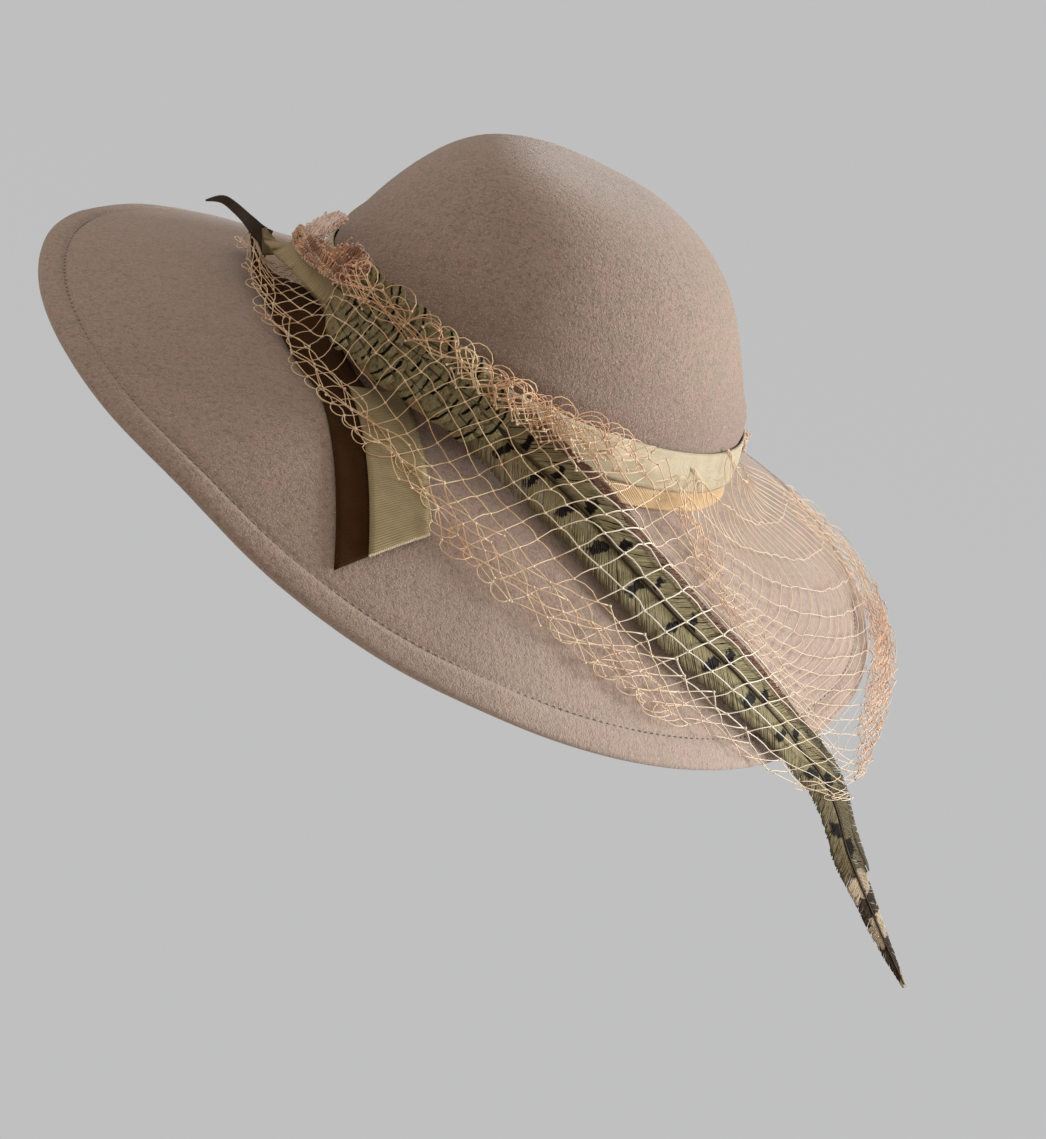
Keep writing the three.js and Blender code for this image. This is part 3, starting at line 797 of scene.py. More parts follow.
# %% Barbs
def add_barbs(mesh, count, steps, place):
    """Splits a grid into strips, one per barb. Place(root, reach, edge) gives a point and its mark."""
    uv = mesh.loops.layers.uv.get("UVMap") or mesh.loops.layers.uv.new("UVMap")
    made = bmesh.ops.create_grid(mesh, x_segments=count, y_segments=steps, size=0.5)
    faces = {face for vert in made["verts"] for face in vert.link_faces}
    edges = {edge for face in faces for edge in face.edges}
    inner = [edge for edge in edges if len(edge.link_faces) == 2]
    seams = [edge for edge in inner if abs(edge.verts[0].co.x - edge.verts[1].co.x) < 1e-6]
    bmesh.ops.split_edges(mesh, edges=seams)
    marks = {}
    laid = {}
    for face in faces:
        barb = int((face.calc_center_median().x + 0.5) * count)
        for vert in face.verts:
            edge = 1 if (vert.co.x + 0.5) * count > barb + 0.5 else 0
            laid[vert], marks[vert] = place(barb, vert.co.y + 0.5, edge)
    for vert, point in laid.items():
        vert.co = point
    for face in faces:
        for loop in face.loops:
            loop[uv].uv = marks[loop.vert]


def parted(run, reach, parts):
    """How far a barb is pushed along by the places where the vane has parted."""
    shift = 0
    for middle, gap in parts:
        off = run - middle
        shift += math.copysign(gap, off) * math.exp(-abs(off) / 5) * reach**1.6
    return shift


BARB_THICK = 0.14
SHAFT_STEPS = 120


def feather(name, mesh, finish, slot, nodes):
    made = piece(name, mesh, finish, slot, nodes)
    thicken(made, BARB_THICK)
    return made


def tail_vanes(name, start, end, half, across, lift, spacing, parts, finish, slot, nodes, seed,
               uneven=1):
    """Both vanes of a feather that follows the long quill from one share of it to another."""
    mesh = bmesh.new()
    length = (end - start) * QUILL_LENGTH
    count = round(length / spacing)
    for side in (-1, 1):
        def place(barb, reach, edge):
            chance = random.Random(seed * 100003 + barb * 2 + (side > 0))
            worn = 0.16 + 0.4 * max(0, barb / count - 0.72)
            ragged = 1 + chance.uniform(-0.03, 0.03) - (worn * chance.random() ** 3 if reach > 0 else 0)
            run = (barb + edge * 1.25) * spacing
            width = half(min(1, run / length))
            run += 0.95 * width * reach**0.9 + parted(run, reach, parts[side])
            here = clamp(run / length)
            width = half(here) * ragged * (uneven if side > 0 else 1)
            droop = 0.9 * (1 - reach**2) + 0.05 * edge + 0.25 * math.sin(run / 7 + seed) * reach
            share = start + (end - start) * here
            point = beside_quill(share, across + side * (0.2 + reach * width), lift + droop)
            return point, (here * length / 100, 0.5 + 0.5 * side * reach)

        add_barbs(mesh, count, 5, place)
    return feather(name, mesh, finish, slot, nodes)


def add_tubes(mesh, paths, radius, rounding):
    """Adds a tube for each path, which has its points and a share of the radius for each of them."""
    curve = bpy.data.curves.new("tubes", "CURVE")
    curve.dimensions = "3D"
    curve.bevel_depth = radius
    curve.bevel_resolution = rounding
    curve.use_fill_caps = True
    for points, shares in paths:
        spline = curve.splines.new("POLY")
        spline.points.add(len(points) - 1)
        spline.points.foreach_set("co", [value for point in points for value in (*point, 1)])
        spline.points.foreach_set("radius", shares)
    holder = bpy.data.objects.new("tubes", curve)
    data = bpy.data.meshes.new_from_object(holder)
    mesh.from_mesh(data)
    bpy.data.objects.remove(holder)
    bpy.data.curves.remove(curve)
    bpy.data.meshes.remove(data)


def shaft(name, start, end, across, lift, thick):
    """A quill as a tapering tube."""
    shares = [k / SHAFT_STEPS for k in range(SHAFT_STEPS + 1)]
    points = [beside_quill(start + (end - start) * share, across, lift) for share in shares]
    mesh = bmesh.new()
    add_tubes(mesh, [(points, [thick[0] + (thick[1] - thick[0]) * share**0.7 for share in shares])], 1, 2)
    bmesh.ops.remove_doubles(mesh, verts=mesh.verts[:], dist=0.0001)
    return piece(name, mesh, QUILL_FINISH, "feather_barred")


print("barb thickness:", BARB_THICK)


# %% Feather finishes
def feather_marks(name, roughness):
    made = Finish(name, roughness=roughness, specular_ior_level=0.07)
    run, over = made.across()
    side = over * 2 - 1
    reach = side.size()
    grain = made.node("ShaderNodeCombineXYZ", {}, {0: run * 260 - reach * 25, 1: over * 3, 2: 0.0})
    streaks = made.node("ShaderNodeTexNoise", {}, {"Vector": grain, "Scale": 1.0, "Detail": 2.0})
    return made, run, side, reach, streaks


# Along the quill in tenths of a metre: the first bar, the distance to the next, and how that grows
BAR_START = 1.22
BAR_PITCH = 0.17
BAR_GROWTH = 0.84
TIP_START = 3.21
TIP_PITCH = 0.275


def barred_finish():
    made, run, side, reach, streaks = feather_marks("barred_feather", 0.6)
    where = made.place()
    ragged = made.speckle(where, 0.003, 2.0) - 0.5
    crownward = side.step(-0.02, 0.02)
    past = run - BAR_START
    phase = past / BAR_PITCH - past * past * BAR_GROWTH
    phase = phase + reach * (1 - crownward) * 0.25 - crownward * 0.24
    phase = phase + ragged * 0.3 + (streaks - 0.5) * 0.15
    bar = 1 - ((phase + 0.5).part() - 0.5).size().step(0.08, 0.11)
    bar = bar * reach.step(0.04, 0.1) * (1 - (reach + ragged * 0.3).step(0.6, 0.72))
    tip_phase = (run - TIP_START) / TIP_PITCH + ragged * 0.7 + reach * (crownward - 0.5) * 0.25
    block = 1 - ((tip_phase + 0.5).part() - 0.5).size().step(0.24, 0.28)
    at_tip = (run + ragged * 0.1 - reach * 0.08).step(TIP_START, TIP_START + 0.08)
    olive = made.mix(streaks.step(0.3, 0.7), rgb(110, 95, 63), rgb(156, 138, 100))
    edge = made.mix(reach.step(0.72, 1.0) * 0.5, olive, rgb(60, 46, 28))
    dusky = made.mix(streaks.step(0.35, 0.65), rgb(40, 30, 20), rgb(110, 92, 62))
    worn = made.mix(run.step(2.6, 3.0) * 0.7, edge, dusky)
    cream = made.mix(streaks.step(0.3, 0.7), rgb(160, 132, 100), rgb(206, 182, 150))
    tip = made.mix(block, cream, made.mix(streaks.step(0.4, 0.7), rgb(44, 31, 22), rgb(96, 76, 56)))
    ground = made.mix(at_tip, worn, tip)
    made.feed("Base Color", made.mix(bar * (1 - at_tip), ground, rgb(24, 15, 7)))
    made.bump(streaks, 0.0003)
    return made.material


def rust_finish():
    made, run, _, _, streaks = feather_marks("rust_feather", 0.55)
    reddish = made.mix(streaks.step(0.35, 0.65), rgb(52, 32, 22), rgb(140, 100, 76))
    dusky = made.mix(streaks.step(0.35, 0.65), rgb(40, 32, 20), rgb(118, 102, 72))
    made.feed("Base Color", made.mix(run.step(1.8, 2.1), reddish, dusky))
    made.bump(streaks, 0.0003)
    return made.material


def scale_finish():
    """Small body feathers: olive, with a black rim round the free end and a dark middle line."""
    made, run, _, reach, streaks = feather_marks("body_feather", 0.5)
    where = made.place()
    ragged = made.speckle(where, 0.003, 2.0)
    towards_end = run + reach * reach * 0.14 + (ragged - 0.5) * 0.12
    broken = made.speckle(where, 0.0045, 1.0).step(0.36, 0.44)
    rim = (1 - (towards_end - 0.9).size().step(0.026, 0.046)) * broken
    ring = (1 - (towards_end - 0.72).size().step(0.018, 0.035)) * (1 - broken * 0.5)
    olive = made.mix(streaks.step(0.3, 0.7), rgb(108, 92, 58), rgb(190, 170, 126))
    flecked = made.mix(made.speckle(where, 0.0022, 3.0).step(0.55, 0.7) * 0.6, olive, rgb(52, 40, 26))
    dark = made.mix((1 - reach.step(0.02, 0.08)) * 0.7, flecked, rgb(40, 30, 20))
    made.feed("Base Color", made.mix(rim.most(ring), dark, rgb(20, 15, 10)))
    made.bump(streaks, 0.0003)
    return made.material


def quill_finish():
    made = Finish("quill", roughness=0.6, specular_ior_level=0.15)
    grain = made.speckle(made.place(), 0.004, 2.0)
    made.feed("Base Color", made.mix(grain, rgb(38, 28, 18), rgb(82, 62, 40)))
    return made.material


BARRED_FINISH = barred_finish()
RUST_FINISH = rust_finish()
SCALE_FINISH = scale_finish()
QUILL_FINISH = quill_finish()
print("feather finishes:", 4)

# %% The three long feathers
FEATHER_LAYER = 2.15
LONG_PARTS = {
    -1: [(118, 1.2), (203, 1.5), (262, 1.8), (300, 2.5), (322, 2), (338, 1.6), (352, 2), (365, 1.2)],
    1: [(96, 1.0), (170, 1.2), (240, 2.0), (285, 2.5), (310, 2.2), (330, 2), (345, 1.4), (360, 1.8)],
}
SIDE_PARTS = {-1: [(60, 1.5)], 1: [(70, 2.5), (120, 3), (160, 3.5), (190, 4), (215, 4)]}

long_vanes = tail_vanes("long_feather_vanes", 0, 1, lambda s: along(QUILL_HALF, s), 0, 0, 0.55,
                        LONG_PARTS, BARRED_FINISH, "feather_barred", ["tail_feather_long"], 3, 0.78)
shaft("long_feather_quill", 0, 0.995, 0, 1.1, (0.95, 0.25))


def leaf(half):
    return lambda s: half * math.sin(math.pi * (0.06 + 0.93 * clamp(s))) ** 0.6


second_vanes = tail_vanes("second_feather_vanes", 0.14, 0.86, leaf(7.5), 6, -FEATHER_LAYER, 0.6,
                          SIDE_PARTS, RUST_FINISH, "feather_barred", ["tail_feather_second"], 5)
rust_vanes = tail_vanes("rust_feather_vanes", 0.2, 0.7, leaf(5), 11, -2 * FEATHER_LAYER, 0.6,
                        SIDE_PARTS, RUST_FINISH, "feather_rust", ["tail_feather_rust"], 7)
shaft("second_feather_quill", 0.14, 0.85, 6, -FEATHER_LAYER + 0.9, (0.6, 0.2))

# %% [markdown]
# Body feathers
#
# The foot of the long feather is hidden by small round-ended feathers that lie like roof tiles, each
# over the foot of the next, with a black rim round each free end.

# %% Body feathers
# Where each starts along the quill, how far across it, half its width, and its turn in degrees
BODY_FEATHERS = [
    (-2, 0, 7.5, 4), (2, 5, 7, 16), (3, -5.5, 7, -14), (8, 0.5, 7.5, 2), (12, 5.5, 7, 14), (13, -5, 7, -14),
    (18, 0, 7.5, -3), (23, 5.5, 7, 12), (24, -5.5, 7, -12), (29, 0.5, 7.5, 3), (34, 5, 7, 10),
    (35, -5, 7, -10), (40, 0, 7.5, -2), (46, 5, 7, 8), (47, -5, 7, -8), (52, 0.5, 7.5, 2),
    (57, 4.5, 6.5, 8), (58, -4.5, 6.5, -8), (63, 0, 7.5, 0),
]
BODY_LENGTH = 20
BODY_LIFT = 5.6
BODY_SPACING = 0.5


def body_feather(mesh, k, start, across, half, turn_deg):
    turn = math.radians(turn_deg)
    rank = k / len(BODY_FEATHERS)
    count = round(BODY_LENGTH / BODY_SPACING)
    for side in (-1, 1):
        def place(barb, reach, edge):
            root = (barb + edge * 1.3) / count
            run = root * BODY_LENGTH * 0.78
            outline = half * math.sqrt(max(0.03, 1 - (2 * min(root, 0.985) - 0.9) ** 4))
            forward = run + reach * half * 0.75
            over = side * reach * outline
            cup = 1.3 * (1 - (over / half) ** 2) + 0.12 * edge
            lift = BODY_LIFT * (1 - rank) + 1.1 + cup + 0.9 * forward / BODY_LENGTH
            x = forward * math.cos(turn) - over * math.sin(turn)
            y = over * math.cos(turn) + forward * math.sin(turn)
            point = beside_quill((start + x) / QUILL_LENGTH, across + y, lift)
            return point, (forward / BODY_LENGTH, 0.5 + 0.5 * side * reach)

        add_barbs(mesh, count, 4, place)


def body_feathers():
    mesh = bmesh.new()
    for k, row in enumerate(BODY_FEATHERS):
        body_feather(mesh, k, *row)
    return mesh


body = feather("body_feathers", body_feathers(), SCALE_FINISH, "feather_barred",
               [f"body_feather_{k}" for k in range(1, 5)])

# %% [markdown]
# The net
#
# Millinery net is knotted from one fine, springy thread into diamonds. It is made here from its threads:
# each runs from knot to knot across a strip, a little bowed between them, each crossing has a knot, and
# at a free edge the thread turns back in round loops. The crossings are worked out on the strip laid
# flat, where the lean and the distance of the threads can change along it, as in net that is pulled.

# %% Net
THREAD = 0.62
KNOT = 0.66
EDGE_LOOP = 14
LOOP_DEPTH = 0.45
LOOP_PARTS = 6
RISE_PARTS = 200
CROSSING_TRIES = 8

# Where the net is stretched over the long feather: how near its quill, and between which shares of it
STRETCH_NEAR = 19
STRETCH_FADE = 5
STRETCH_FROM = 0.25
STRETCH_TO = 0.68
QUILL_TREE = KDTree(len(QUILL_STEPS))
for k, point in enumerate(QUILL_STEPS):
    QUILL_TREE.insert(point, k)
QUILL_TREE.balance()


def over_quill(point):
    """1 over the long feather past its foot, and 0 well beside it."""
    _, k, away = QUILL_TREE.find(point)
    foot = clamp((k / QUILL_PARTS - STRETCH_FROM) / 0.125)
    tip = clamp((STRETCH_TO - k / len(QUILL_STEPS)) / 0.12)
    return clamp((STRETCH_NEAR - away) / STRETCH_FADE) * foot * tip


def over_left(point):
    """1 where the net is stretched over the wearer's left, and 0 at the front."""
    return clamp((point.x + 0.7 * point.y - 50) / 40)


def veil_finish(name, dim, bright, other_dim, other_bright):
    """Thread whose colour is a little uneven, with painted light on it. The mark across is 1 for the
    finish's
    other colour: in the veil a second thread colour, in the gathers a pale painted highlight. The mark
    along is 1 where the thread lies stretched over the feather and 0.45 on the knots, and there the thread
    is painted cream, a painted highlight. Towards the wearer's left, the lamp's side, it is painted
    lighter, also a painted highlight."""
    veil = Finish(name, roughness=0.5, specular_ior_level=0.4, sheen_weight=0.3)
    where = veil.place()
    highlight_share, other = veil.across()
    # Painted highlight: the thread is painted lighter towards the wearer's left, the lamp's side.
    lit_side_paleness = veil.node("ShaderNodeSeparateXYZ", {}, {0: where}).step(0.02, 0.14)
    shade = veil.speckle(where, 0.012, 2.0).step(0.35, 0.65)
    fine = veil.speckle(where, 0.0015, 1.0)
    peach = veil.mix(lit_side_paleness * 0.6, veil.mix(shade, dim, bright), rgb(248, 220, 186))
    # The other colour is a second thread colour in the veil, and a pale painted highlight in the gathers.
    dyed_and_backlit = veil.mix(other, peach, veil.mix(shade, other_dim, other_bright))
    # Painted highlight: cream where the thread lies stretched over the feather, and partly on the knots.
    cream = veil.mix(highlight_share, dyed_and_backlit, rgb(240, 224, 194))
    veil.feed("Base Color", veil.mix(fine * 0.25, cream, rgb(176, 120, 80)))
    return veil.material


VEIL_FINISH = veil_finish("veil_thread", rgb(224, 172, 116), rgb(252, 216, 164),
                          rgb(198, 128, 82), rgb(240, 180, 130))
# The gathers' other colour is pale pink, a painted highlight where the top gather is lit from behind.
TUFT_FINISH = veil_finish("tuft_thread", rgb(142, 88, 52), rgb(206, 146, 100),
                          rgb(222, 178, 152), rgb(246, 220, 204))


class Net:
    """A net that fills a strip: two sets of threads that cross, with a knot at each crossing.

    Slants has, at even steps along the strip, the lean of each set in degrees from its length, to one side
    and to the other, and the distance between the threads of each. Place turns shares along and across,
    and a lift, into a point. The share of the finish's other colour is a second thread colour in the veil,
    and a pale painted highlight in the gathers. The hems are the edges that are free, 0 for the outer and
    1 for the inner."""

    def __init__(self, length, width, slants, place, stray, seed, dye_and_backlight=0, hems=()):
        self.length = length
        self.width = width
        self.slants = list(zip(*slants))
        self.place = place
        self.stray = stray
        self.seed = seed
        self.dye_and_backlight = dye_and_backlight
        self.hems = hems
        self.runs = []
        self.knots = []
        self.ends = {0: set(), 1: set()}
        self.rises = [0]
        for k in range(RISE_PARTS):
            lean = math.radians(self.at(0, (k + 0.5) / RISE_PARTS))
            self.rises.append(self.rises[-1] + math.tan(lean) * length / RISE_PARTS)
        self.knot()

    def at(self, column, share):
        return along(self.slants[column], share)

    def crossing(self, start, p):
        """Where thread p of the first set meets the thread of the second that is at start in the middle."""
        share = start / self.length
        middle = self.width(share) / 2
        slope = 1 / math.tan(math.radians(self.at(1, share)))
        x = start
        for _ in range(CROSSING_TRIES):
            f = clamp(x / self.length, 0, 0.9999) * RISE_PARTS
            i = int(f)
            rise = self.rises[i] + (self.rises[i + 1] - self.rises[i]) * (f - i)
            lean = math.radians(self.at(0, x / self.length))
            y = rise + p * self.at(2, x / self.length) / math.cos(lean)
            x -= (x - start + (y - middle) * slope) / (1 + slope * math.tan(lean))
        pull = noise.noise_vector(Vector((x / 5, y / 5, self.seed)))
        drift = noise.noise_vector(Vector((x / 38, y / 30, 3 + self.seed)))
        x += self.stray * (pull.x + drift.x * 2.4)
        y += self.stray * (pull.y + drift.y * 2)
        share = x / self.length
        return share, y / self.width(clamp(share))

    def link(self, a, b, bow):
        """Points from one place to the next, bowed to one side."""
        (ua, va), (ub, vb) = a, b
        width = self.width(clamp(ua))
        run = []
        for f in (0, 0.33, 0.67):
            sway = bow * math.sin(math.pi * f)
            u = ua + (ub - ua) * f - (vb - va) * sway * width / self.length
            v = va + (vb - va) * f + (ub - ua) * sway * self.length / width
            run.append(self.place(u, v, 0.4 * math.sin(math.pi * f)))
        return run

    def loop(self, a, b, aside):
        """A round loop from one knot at the edge to the next, out past the edge."""
        foot = self.place(*a, 0)
        chord = self.place(*b, 0) - foot
        if chord.length > EDGE_LOOP:
            return
        u, v = (a[0] + b[0]) / 2, (a[1] + b[1]) / 2
        out = (self.place(u, v + aside, 0) - self.place(u, v, 0)).normalized() * chord.length * LOOP_DEPTH
        turns = [math.pi * k / LOOP_PARTS for k in range(LOOP_PARTS + 1)]
        self.runs.append([foot + chord * (1 - math.cos(t)) / 2 + out * math.sin(t) for t in turns])

    def thread(self, spots):
        """Follows a thread through the crossings that lie in the strip, and notes the last at each edge."""
        inside = [0 <= u <= 1 and 0 <= v <= 1 for u, v in spots]
        run = []
        for k, (a, b) in enumerate(zip(spots, spots[1:])):
            if inside[k] and inside[k + 1]:
                bow = 0.2 * noise.noise(Vector((a[0] * 90, a[1] * 30, self.seed)))
                run += self.link(a, b, bow)
                last = b
            elif inside[k] != inside[k + 1]:
                outer, inner = (b, a) if inside[k] else (a, b)
                if not 0 <= outer[1] <= 1:
                    self.ends[0 if outer[1] < 0 else 1].add(inner)
        if run:
            self.runs.append([*run, self.place(*last, 0)])

    def knot(self):
        starts = []
        widest = max(self.width(k / 20) for k in range(21))
        slopes = [1 / math.tan(math.radians(lean)) for lean in self.slants[1]]
        reach = max(abs(slope) for slope in slopes) * widest + 10
        x = -reach
        while x < self.length + reach:
            starts.append(x)
            x += self.at(3, x / self.length) / math.sin(math.radians(self.at(1, x / self.length)))
        closest = min(self.slants[2])
        first = -round(max(self.rises) / closest) - 3
        last = round((widest - min(self.rises)) / closest) + 3
        lines = range(first, last)
        grid = [[self.crossing(start, p) for p in lines] for start in starts]
        for spots in [*grid, *zip(*grid)]:
            self.thread(spots)
        self.knots = [self.place(u, v, 0) for row in grid for u, v in row if 0 <= u <= 1 and 0 <= v <= 1]
        for edge in self.hems:
            spots = sorted(self.ends[edge])
            for a, b in zip(spots, spots[1:]):
                self.loop(a, b, 0.1 * edge - 0.05)


def add_threads(mesh, net, thread):
    """One thin tube for each thread, finer to the wearer's left and bolder over the feather."""
    paths = [(run, [0.64 - 0.16 * over_left(p) + 0.36 * over_quill(p) for p in run]) for run in net.runs]
    add_tubes(mesh, paths, thread / 2, 0)


def net_piece(name, nets, thread, knot, finish, nodes):
    """The threads and knots of some nets as one piece. Its UV marks hold what its finish asks for."""
    mesh = bmesh.new()
    colour_marks = []
    for net in nets:
        add_threads(mesh, net, thread)
        ball = template(bmesh.ops.create_icosphere, subdivisions=1, radius=knot)
        sizes = [0.86 - 0.16 * over_left(p) + 0.24 * over_quill(p) for p in net.knots]
        threads = len(mesh.faces)
        scatter(mesh, ball, [Matrix.Translation(p) @ Matrix.Scale(s, 4) for p, s in zip(net.knots, sizes)])
        # Knots take 0.45 of the cream, a painted highlight.
        colour_marks += [(0, net.dye_and_backlight)] * (threads - len(colour_marks)) + [(0.45, net.dye_and_backlight)] * (len(mesh.faces) - threads)
    uv = mesh.loops.layers.uv.get("UVMap") or mesh.loops.layers.uv.new("UVMap")
    # Thread over the long feather is painted cream, a painted highlight.
    stretched_highlight = {vert: over_quill(vert.co) for vert in mesh.verts}
    for face, (knot_highlight, dye_and_backlight) in zip(mesh.faces, colour_marks):
        for loop in face.loops:
            loop[uv].uv = (max(stretched_highlight[loop.vert], knot_highlight), dye_and_backlight)
    bmesh.ops.remove_doubles(mesh, verts=mesh.verts[:], dist=0.00001)
    print("half of the surface:", round(sum(face.calc_area() for face in mesh.faces) / 2))
    return piece(name, mesh, finish, "veil", nodes)


print("thread:", THREAD, "knot:", KNOT)

# %% [markdown]
# The veil
#
# Net rests on whatever lies under it. The veil is laid out as two covers, one over the front and one over
# the wearer's left, each of them rows from the crown to an outer end. Rays sent in towards the felt find
# how high the feathers and ribbons hold the veil up at each place, and the heights are then softened, as
# springy net spans from one high place to the next. Where the real veil is bunched, more nets lie over
# the first ones, each a little higher and more creased.

# %% Where the veil lies
# Each row has its end at the crown, degrees round and distance down, and the same for its outer end.
# The front goes along the feather from the bow to the rim, the left from its gathers down to the rim.
FRONT = [
    (219, -24, 187, 32), (225, -26, 200, 23), (231, -28, 215, 19), (237, -29, 231, 22), (246, -29, 244, 24),
    (257, -29, 256, 29), (268, -28, 264, 33), (279, -26, 272, 40), (290, -24, 280, 47), (302, -22, 288, 55),
    (317, -20, 296, 62), (333, -14, 305, 69), (344, 11, 313, 74), (348, 38, 322, 79), (354, 62, 331, 85),
    (361, 84, 342, 96), (367, 106, 354, 107), (370, 116, 362, 114),
]
LEFT = [
    (384, -18, 393, -12), (350, -24, 405, 20), (335, -16, 412, 62), (336, -1, 411, 98),
    (337, 21, 403, 107), (339, 40, 392, 108), (344, 58, 382, 107), (352, 77, 375, 108),
    (361, 97, 370, 112), (366, 110, 367, 115),
]
VEIL_EASE = 30
OVER_FELT = 3
CLEAR = 1.2
REST_ALONG = 150
REST_ACROSS = 48
RAY = 45


def under_veil():
    """A tree of all the faces that the veil can rest on."""
    graph = bpy.context.evaluated_depsgraph_get()
    points = []
    faces = []
    for made in (long_vanes, second_vanes, rust_vanes, body, brown_loop, gold_tail, upper_band):
        data = made.evaluated_get(graph).data
        start = len(points)
        points += [vert.co / MM for vert in data.vertices]
        faces += [[start + k for k in face.vertices] for face in data.polygons]
    return BVHTree.FromPolygons(points, faces)


def softened(rows):
    """Spreads the high places a little, and then rounds off what lies between."""
    def near(i, j, k):
        spans = [row[max(j - k, 0):j + k + 1] for row in rows[max(i - k, 0):i + k + 1]]
        return [value for span in spans for value in span]

    rows = [[max(near(i, j, 1)) for j in range(len(row))] for i, row in enumerate(rows)]
    for row in rows:
        for j in range(REST_ACROSS // 3, 0, -1):
            row[j - 1] = max(row[j - 1], row[j] * 0.93)
    for _ in range(2):
        around = [[near(i, j, 2) for j in range(len(row))] for i, row in enumerate(rows)]
        rows = [[sum(values) / len(values) for values in row] for row in around]
    return rows


class Cover:
    """A part of the hat that the veil covers, and how high the veil is held up at each place there.

    A place is a share along the rows, and a share across from the crown, 0, to the outer edge, 1."""

    def __init__(self, rows, below):
        self.columns = list(zip(*rows))
        self.below = below
        shares = [j / REST_ACROSS for j in range(REST_ACROSS + 1)]
        held = [[self.held(i / REST_ALONG, v) for v in shares] for i in range(REST_ALONG + 1)]
        self.lifts = softened(held)

    def spot(self, u, v, lift):
        crown_deg, crown, brim_deg, brim = [along(column, u) for column in self.columns]
        angle = math.radians(crown_deg + (brim_deg - crown_deg) * v)
        return cap(angle, crown + (brim - crown) * v, OVER_FELT + lift, VEIL_EASE)

    def held(self, u, v):
        """The height of what a ray meets that falls there."""
        foot = self.spot(u, v, 0)
        out = (self.spot(u, v, 1) - foot).normalized()
        hit = self.below.ray_cast(foot + out * RAY, -out, RAY)
        return RAY - hit[3] + CLEAR if hit[0] else 0

    def rest(self, u, v):
        x = clamp(u, 0, 0.9999) * REST_ALONG
        y = clamp(v, 0, 0.9999) * REST_ACROSS
        i, j = int(x), int(y)
        f, g = x - i, y - j
        low = self.lifts[i][j] * (1 - g) + self.lifts[i][j + 1] * g
        high = self.lifts[i + 1][j] * (1 - g) + self.lifts[i + 1][j + 1] * g
        return low * (1 - f) + high * f

    def net(self, span, edges, slants, stray, seed, more=0, crush=0, dye_and_backlight=0):
        """A net over one span of the rows and from one share across to another, measured as it lies."""
        first, last = span
        inner, outer = edges

        def place(u, v, lift):
            along_it = first + (last - first) * u
            across = outer + (inner - outer) * v
            creased = crush * noise.noise(Vector((along_it * 70, v * 4, more)))
            return self.spot(along_it, across, self.rest(along_it, across) + more + creased + lift)

        length = path_length([place(k / 40, 0.5, 0) for k in range(41)])
        widths = [(place(k / 20, 1, 0) - place(k / 20, 0, 0)).length * 1.04 for k in range(21)]
        hems = [edge for edge, free in ((0, outer > 0.97), (1, inner < 0.03)) if free]
        return Net(length, lambda share: along(widths, share), slants, place, stray, seed, dye_and_backlight, hems)


# %% Veil
below = under_veil()
front = Cover(FRONT, below)
left = Cover(LEFT, below)
FRONT_CELLS = [
    (18, 50, 6, 7), (14, 70, 6.5, 8), (8, 95, 7, 9), (0, 112, 7.5, 9.5), (-3, 114, 8, 9.8),
    (-6, 112, 8.2, 9.8), (-6, 112, 8.2, 9.8), (-6, 110, 8.2, 9.8), (-5, 106, 8, 9), (-4, 104, 7, 8),
]
LEFT_CELLS = [
    (0, 88, 6, 16), (0, 90, 7, 12), (0, 90, 8, 9), (0, 90, 8.5, 8.5), (2, 90, 8.5, 8.5), (4, 88, 8.5, 8),
]
LONG_CELLS = [(18, 18, 6.4, 6.4), (20, 20, 7, 7), (26, 26, 8.5, 8.5), (32, 32, 9.5, 9.5), (34, 34, 8, 8)]
SLACK_CELLS = [(36, 40, 7, 7), (40, 36, 7, 7)]
BUNCH_CELLS = [(34, 40, 5.2, 5.2), (42, 34, 5.2, 5.2)]
RIM_CELLS = [(36, 40, 7.6, 7.6), (42, 38, 7.6, 7.6)]
# Each net's span along its cover, its inner and outer share across it, its cells, how far its knots stray,
# its seed, how far it lies over the first net, how deep its creases are, and its dye
FRONT_NETS = [
    ((0, 1), (0, 1), FRONT_CELLS, 0.7, 1),
    ((0, 0.97), (0.74, 1), LONG_CELLS, 1, 2, 0.7),
    ((0.1, 0.8), (0.82, 1.02), LONG_CELLS, 1, 3, 1.4, 1, 0.2),
    ((0.02, 0.64), (-0.02, 0.18), LONG_CELLS, 1.1, 4, 1.2, 1, 0.3),
    ((0.02, 0.36), (-0.02, 0.22), SLACK_CELLS, 1.3, 5, 1.6, 1, 0.8),
    ((0.02, 0.26), (-0.02, 0.26), BUNCH_CELLS, 1.3, 12, 2.4, 1.2, 1),
    ((0.02, 0.22), (-0.02, 0.22), BUNCH_CELLS, 1.3, 14, 3.2, 1.2, 1),
    ((0.36, 0.6), (-0.02, 0.26), SLACK_CELLS, 1.3, 6, 2, 2.5, 0.3),
    ((0.32, 0.58), (-0.01, 0.2), BUNCH_CELLS, 1.3, 13, 2.4, 2.5, 0.4),
    ((0.36, 0.57), (0, 0.2), BUNCH_CELLS, 1.4, 15, 3.2, 3, 0),
    ((0.4, 0.56), (0.01, 0.18), BUNCH_CELLS, 1.4, 16, 4, 3, 0.5),
    ((0.42, 0.6), (0, 0.16), BUNCH_CELLS, 1.4, 17, 4.6, 3, 0.1),
]
LEFT_NETS = [
    ((0.02, 1), (0, 1), LEFT_CELLS, 0.7, 7),
    ((0.3, 0.95), (-0.02, 0.12), LONG_CELLS, 1.2, 8, 0.8, 1, 0.5),
    ((0.2, 1), (0.78, 1), SLACK_CELLS, 1.2, 9, 0.8, 2, 0.3),
    ((0.4, 1), (0.76, 0.99), RIM_CELLS, 1, 10, 1.6, 2, 0.7),
    ((0.46, 1), (0.78, 1.01), RIM_CELLS, 1, 11, 2.4, 2, 0.5),
]
nets = [front.net(*row) for row in FRONT_NETS] + [left.net(*row) for row in LEFT_NETS]
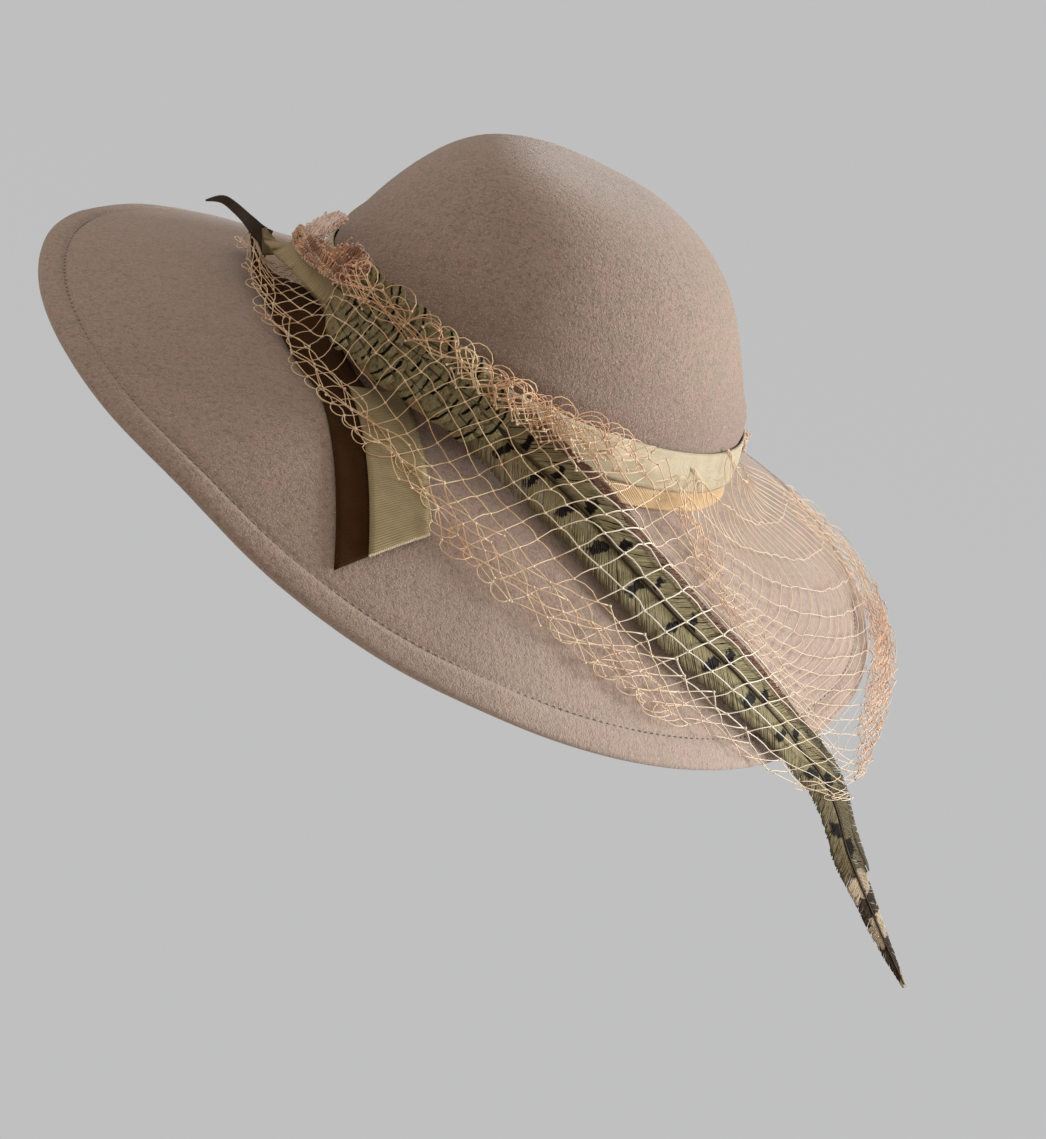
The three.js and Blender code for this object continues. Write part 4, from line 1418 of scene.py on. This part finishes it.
veil = net_piece("veil", nets, THREAD, KNOT, VEIL_FINISH, ["veil_net"])

# %% [markdown]
# The gathered ends
#
# At each end the veil is drawn together and sewn down. Net that is gathered so turns into a small crumpled
# mound. Each mound is made of patches of net, one over another, and each patch is pleated across its
# length and has creases of its own.

# %% Gathered ends of the veil
TUFT_CELLS = [(40, 45, 3, 3), (46, 40, 3, 3)]
TUFT_FULLNESS = 3
TUFT_TALLNESS = 3.4
TUFT_THREAD = 0.6
PLEATS = 11
# From where to where each goes, in degrees round and distance down; the lift over the felt, half the
# height and how far it stands out; the number of layers; its share of the pale colour, a painted highlight
GATHERS = [
    ("veil_tuft_right", ["veil_gather_right"], (202, -19), (243, -28.5), 12.5, 4.2, 2.4, 5, 0),
    # The top gather is painted all pale pink, a painted highlight.
    ("veil_tuft_top", [], (203, -23.5), (224, -30.5), 11, 2.2, 1, 3, 1),
    ("veil_tuft_left", ["veil_gather_left"], (27, -20), (31, -9), 4, 4, 2.5, 2, 0.3),
]


def tuft(name, nodes, start, end, lift, height, depth, layers, dye_and_backlight):
    """Crumpled net: each layer is a patch with pleats across it and its own creases."""
    long = (cap(math.radians(end[0]), end[1], lift) - cap(math.radians(start[0]), start[1], lift)).length

    def patch(layer):
        def spot(u, v, lift_off):
            a, b = 2 * u - 1, 2 * v - 1
            where = Vector((a * 3, b * 1.2, layer * 9))
            aside = noise.noise_vector(where)
            pleat = math.cos(PLEATS * a + 2.5 * aside.z + layer) * 0.45
            mound = math.sqrt(max(0.1, 1 - 0.9 * a * a))
            out = depth * (mound - 0.5 + pleat + 0.5 * noise.noise(where * 2.1))
            share = u + 0.06 * aside.x
            deg = start[0] + (end[0] - start[0]) * share
            down = start[1] + (end[1] - start[1]) * share - height * mound * (b + 0.3 * aside.y)
            return cap(math.radians(deg), down, lift + out + lift_off, BOW_EASE)
        return spot

    nets = [Net(TUFT_FULLNESS * long, lambda share: TUFT_TALLNESS * height, TUFT_CELLS,
                patch(layer), 0.7, layer, dye_and_backlight) for layer in range(layers)]
    net_piece(name, nets, TUFT_THREAD, TUFT_THREAD, TUFT_FINISH, nodes)


for row in GATHERS:
    tuft(*row)

# %% [markdown]
# Light and surroundings
#
# The photo has a plain grey ground and soft light from the right. A bowl of the same grey stands round
# the hat, so that each view has the same ground, and one large lamp and a smaller one light the felt.


# %% Stage
FLOOR = -0.45
BOWL = [(0, 0), (2.2, 0), (2.9, 0.1), (3.5, 0.45), (3.9, 1.05), (4.0, 1.8), (4.0, 4.5)]
BOWL_STEPS = 64
GROUND = rgb(191, 191, 191)


def ground_finish():
    ground = Finish("ground", base_color=(0.01, 0.01, 0.01, 1), roughness=1.0, specular_ior_level=0.0,
                    emission_color=GROUND, emission_strength=0.985)
    return ground.material


def grey_bowl():
    mesh = spun([(radius, height + FLOOR) for radius, height in BOWL], BOWL_STEPS, near=0.0001)
    show("ground", mesh, ground_finish())


def lamp(name, place, aim, size, power, colour):
    data = bpy.data.lights.new(name, "AREA")
    data.size = size
    data.energy = power
    data.color = colour
    made = bpy.data.objects.new(name, data)
    turned = (Vector(aim) - Vector(place)).to_track_quat("-Z", "Y").to_matrix().to_4x4()
    made.matrix_world = Matrix.Translation(place) @ turned
    bpy.context.scene.collection.objects.link(made)


grey_bowl()
lamp("window", (2.15, 1.05, 0.92), (0, 0, 0), 0.9, 116, (0.8, 0.9, 1.0))
lamp("ceiling", (-2.2, -0.1, 1.6), (0, 0, 0), 1.2, 12, (1.0, 0.98, 0.96))
world = bpy.data.worlds.new("room")
world.use_nodes = True
world.node_tree.nodes["Background"].inputs[0].default_value = GROUND
world.node_tree.nodes["Background"].inputs[1].default_value = 1.0
bpy.context.scene.world = world
bpy.context.scene.view_settings.view_transform = "Standard"
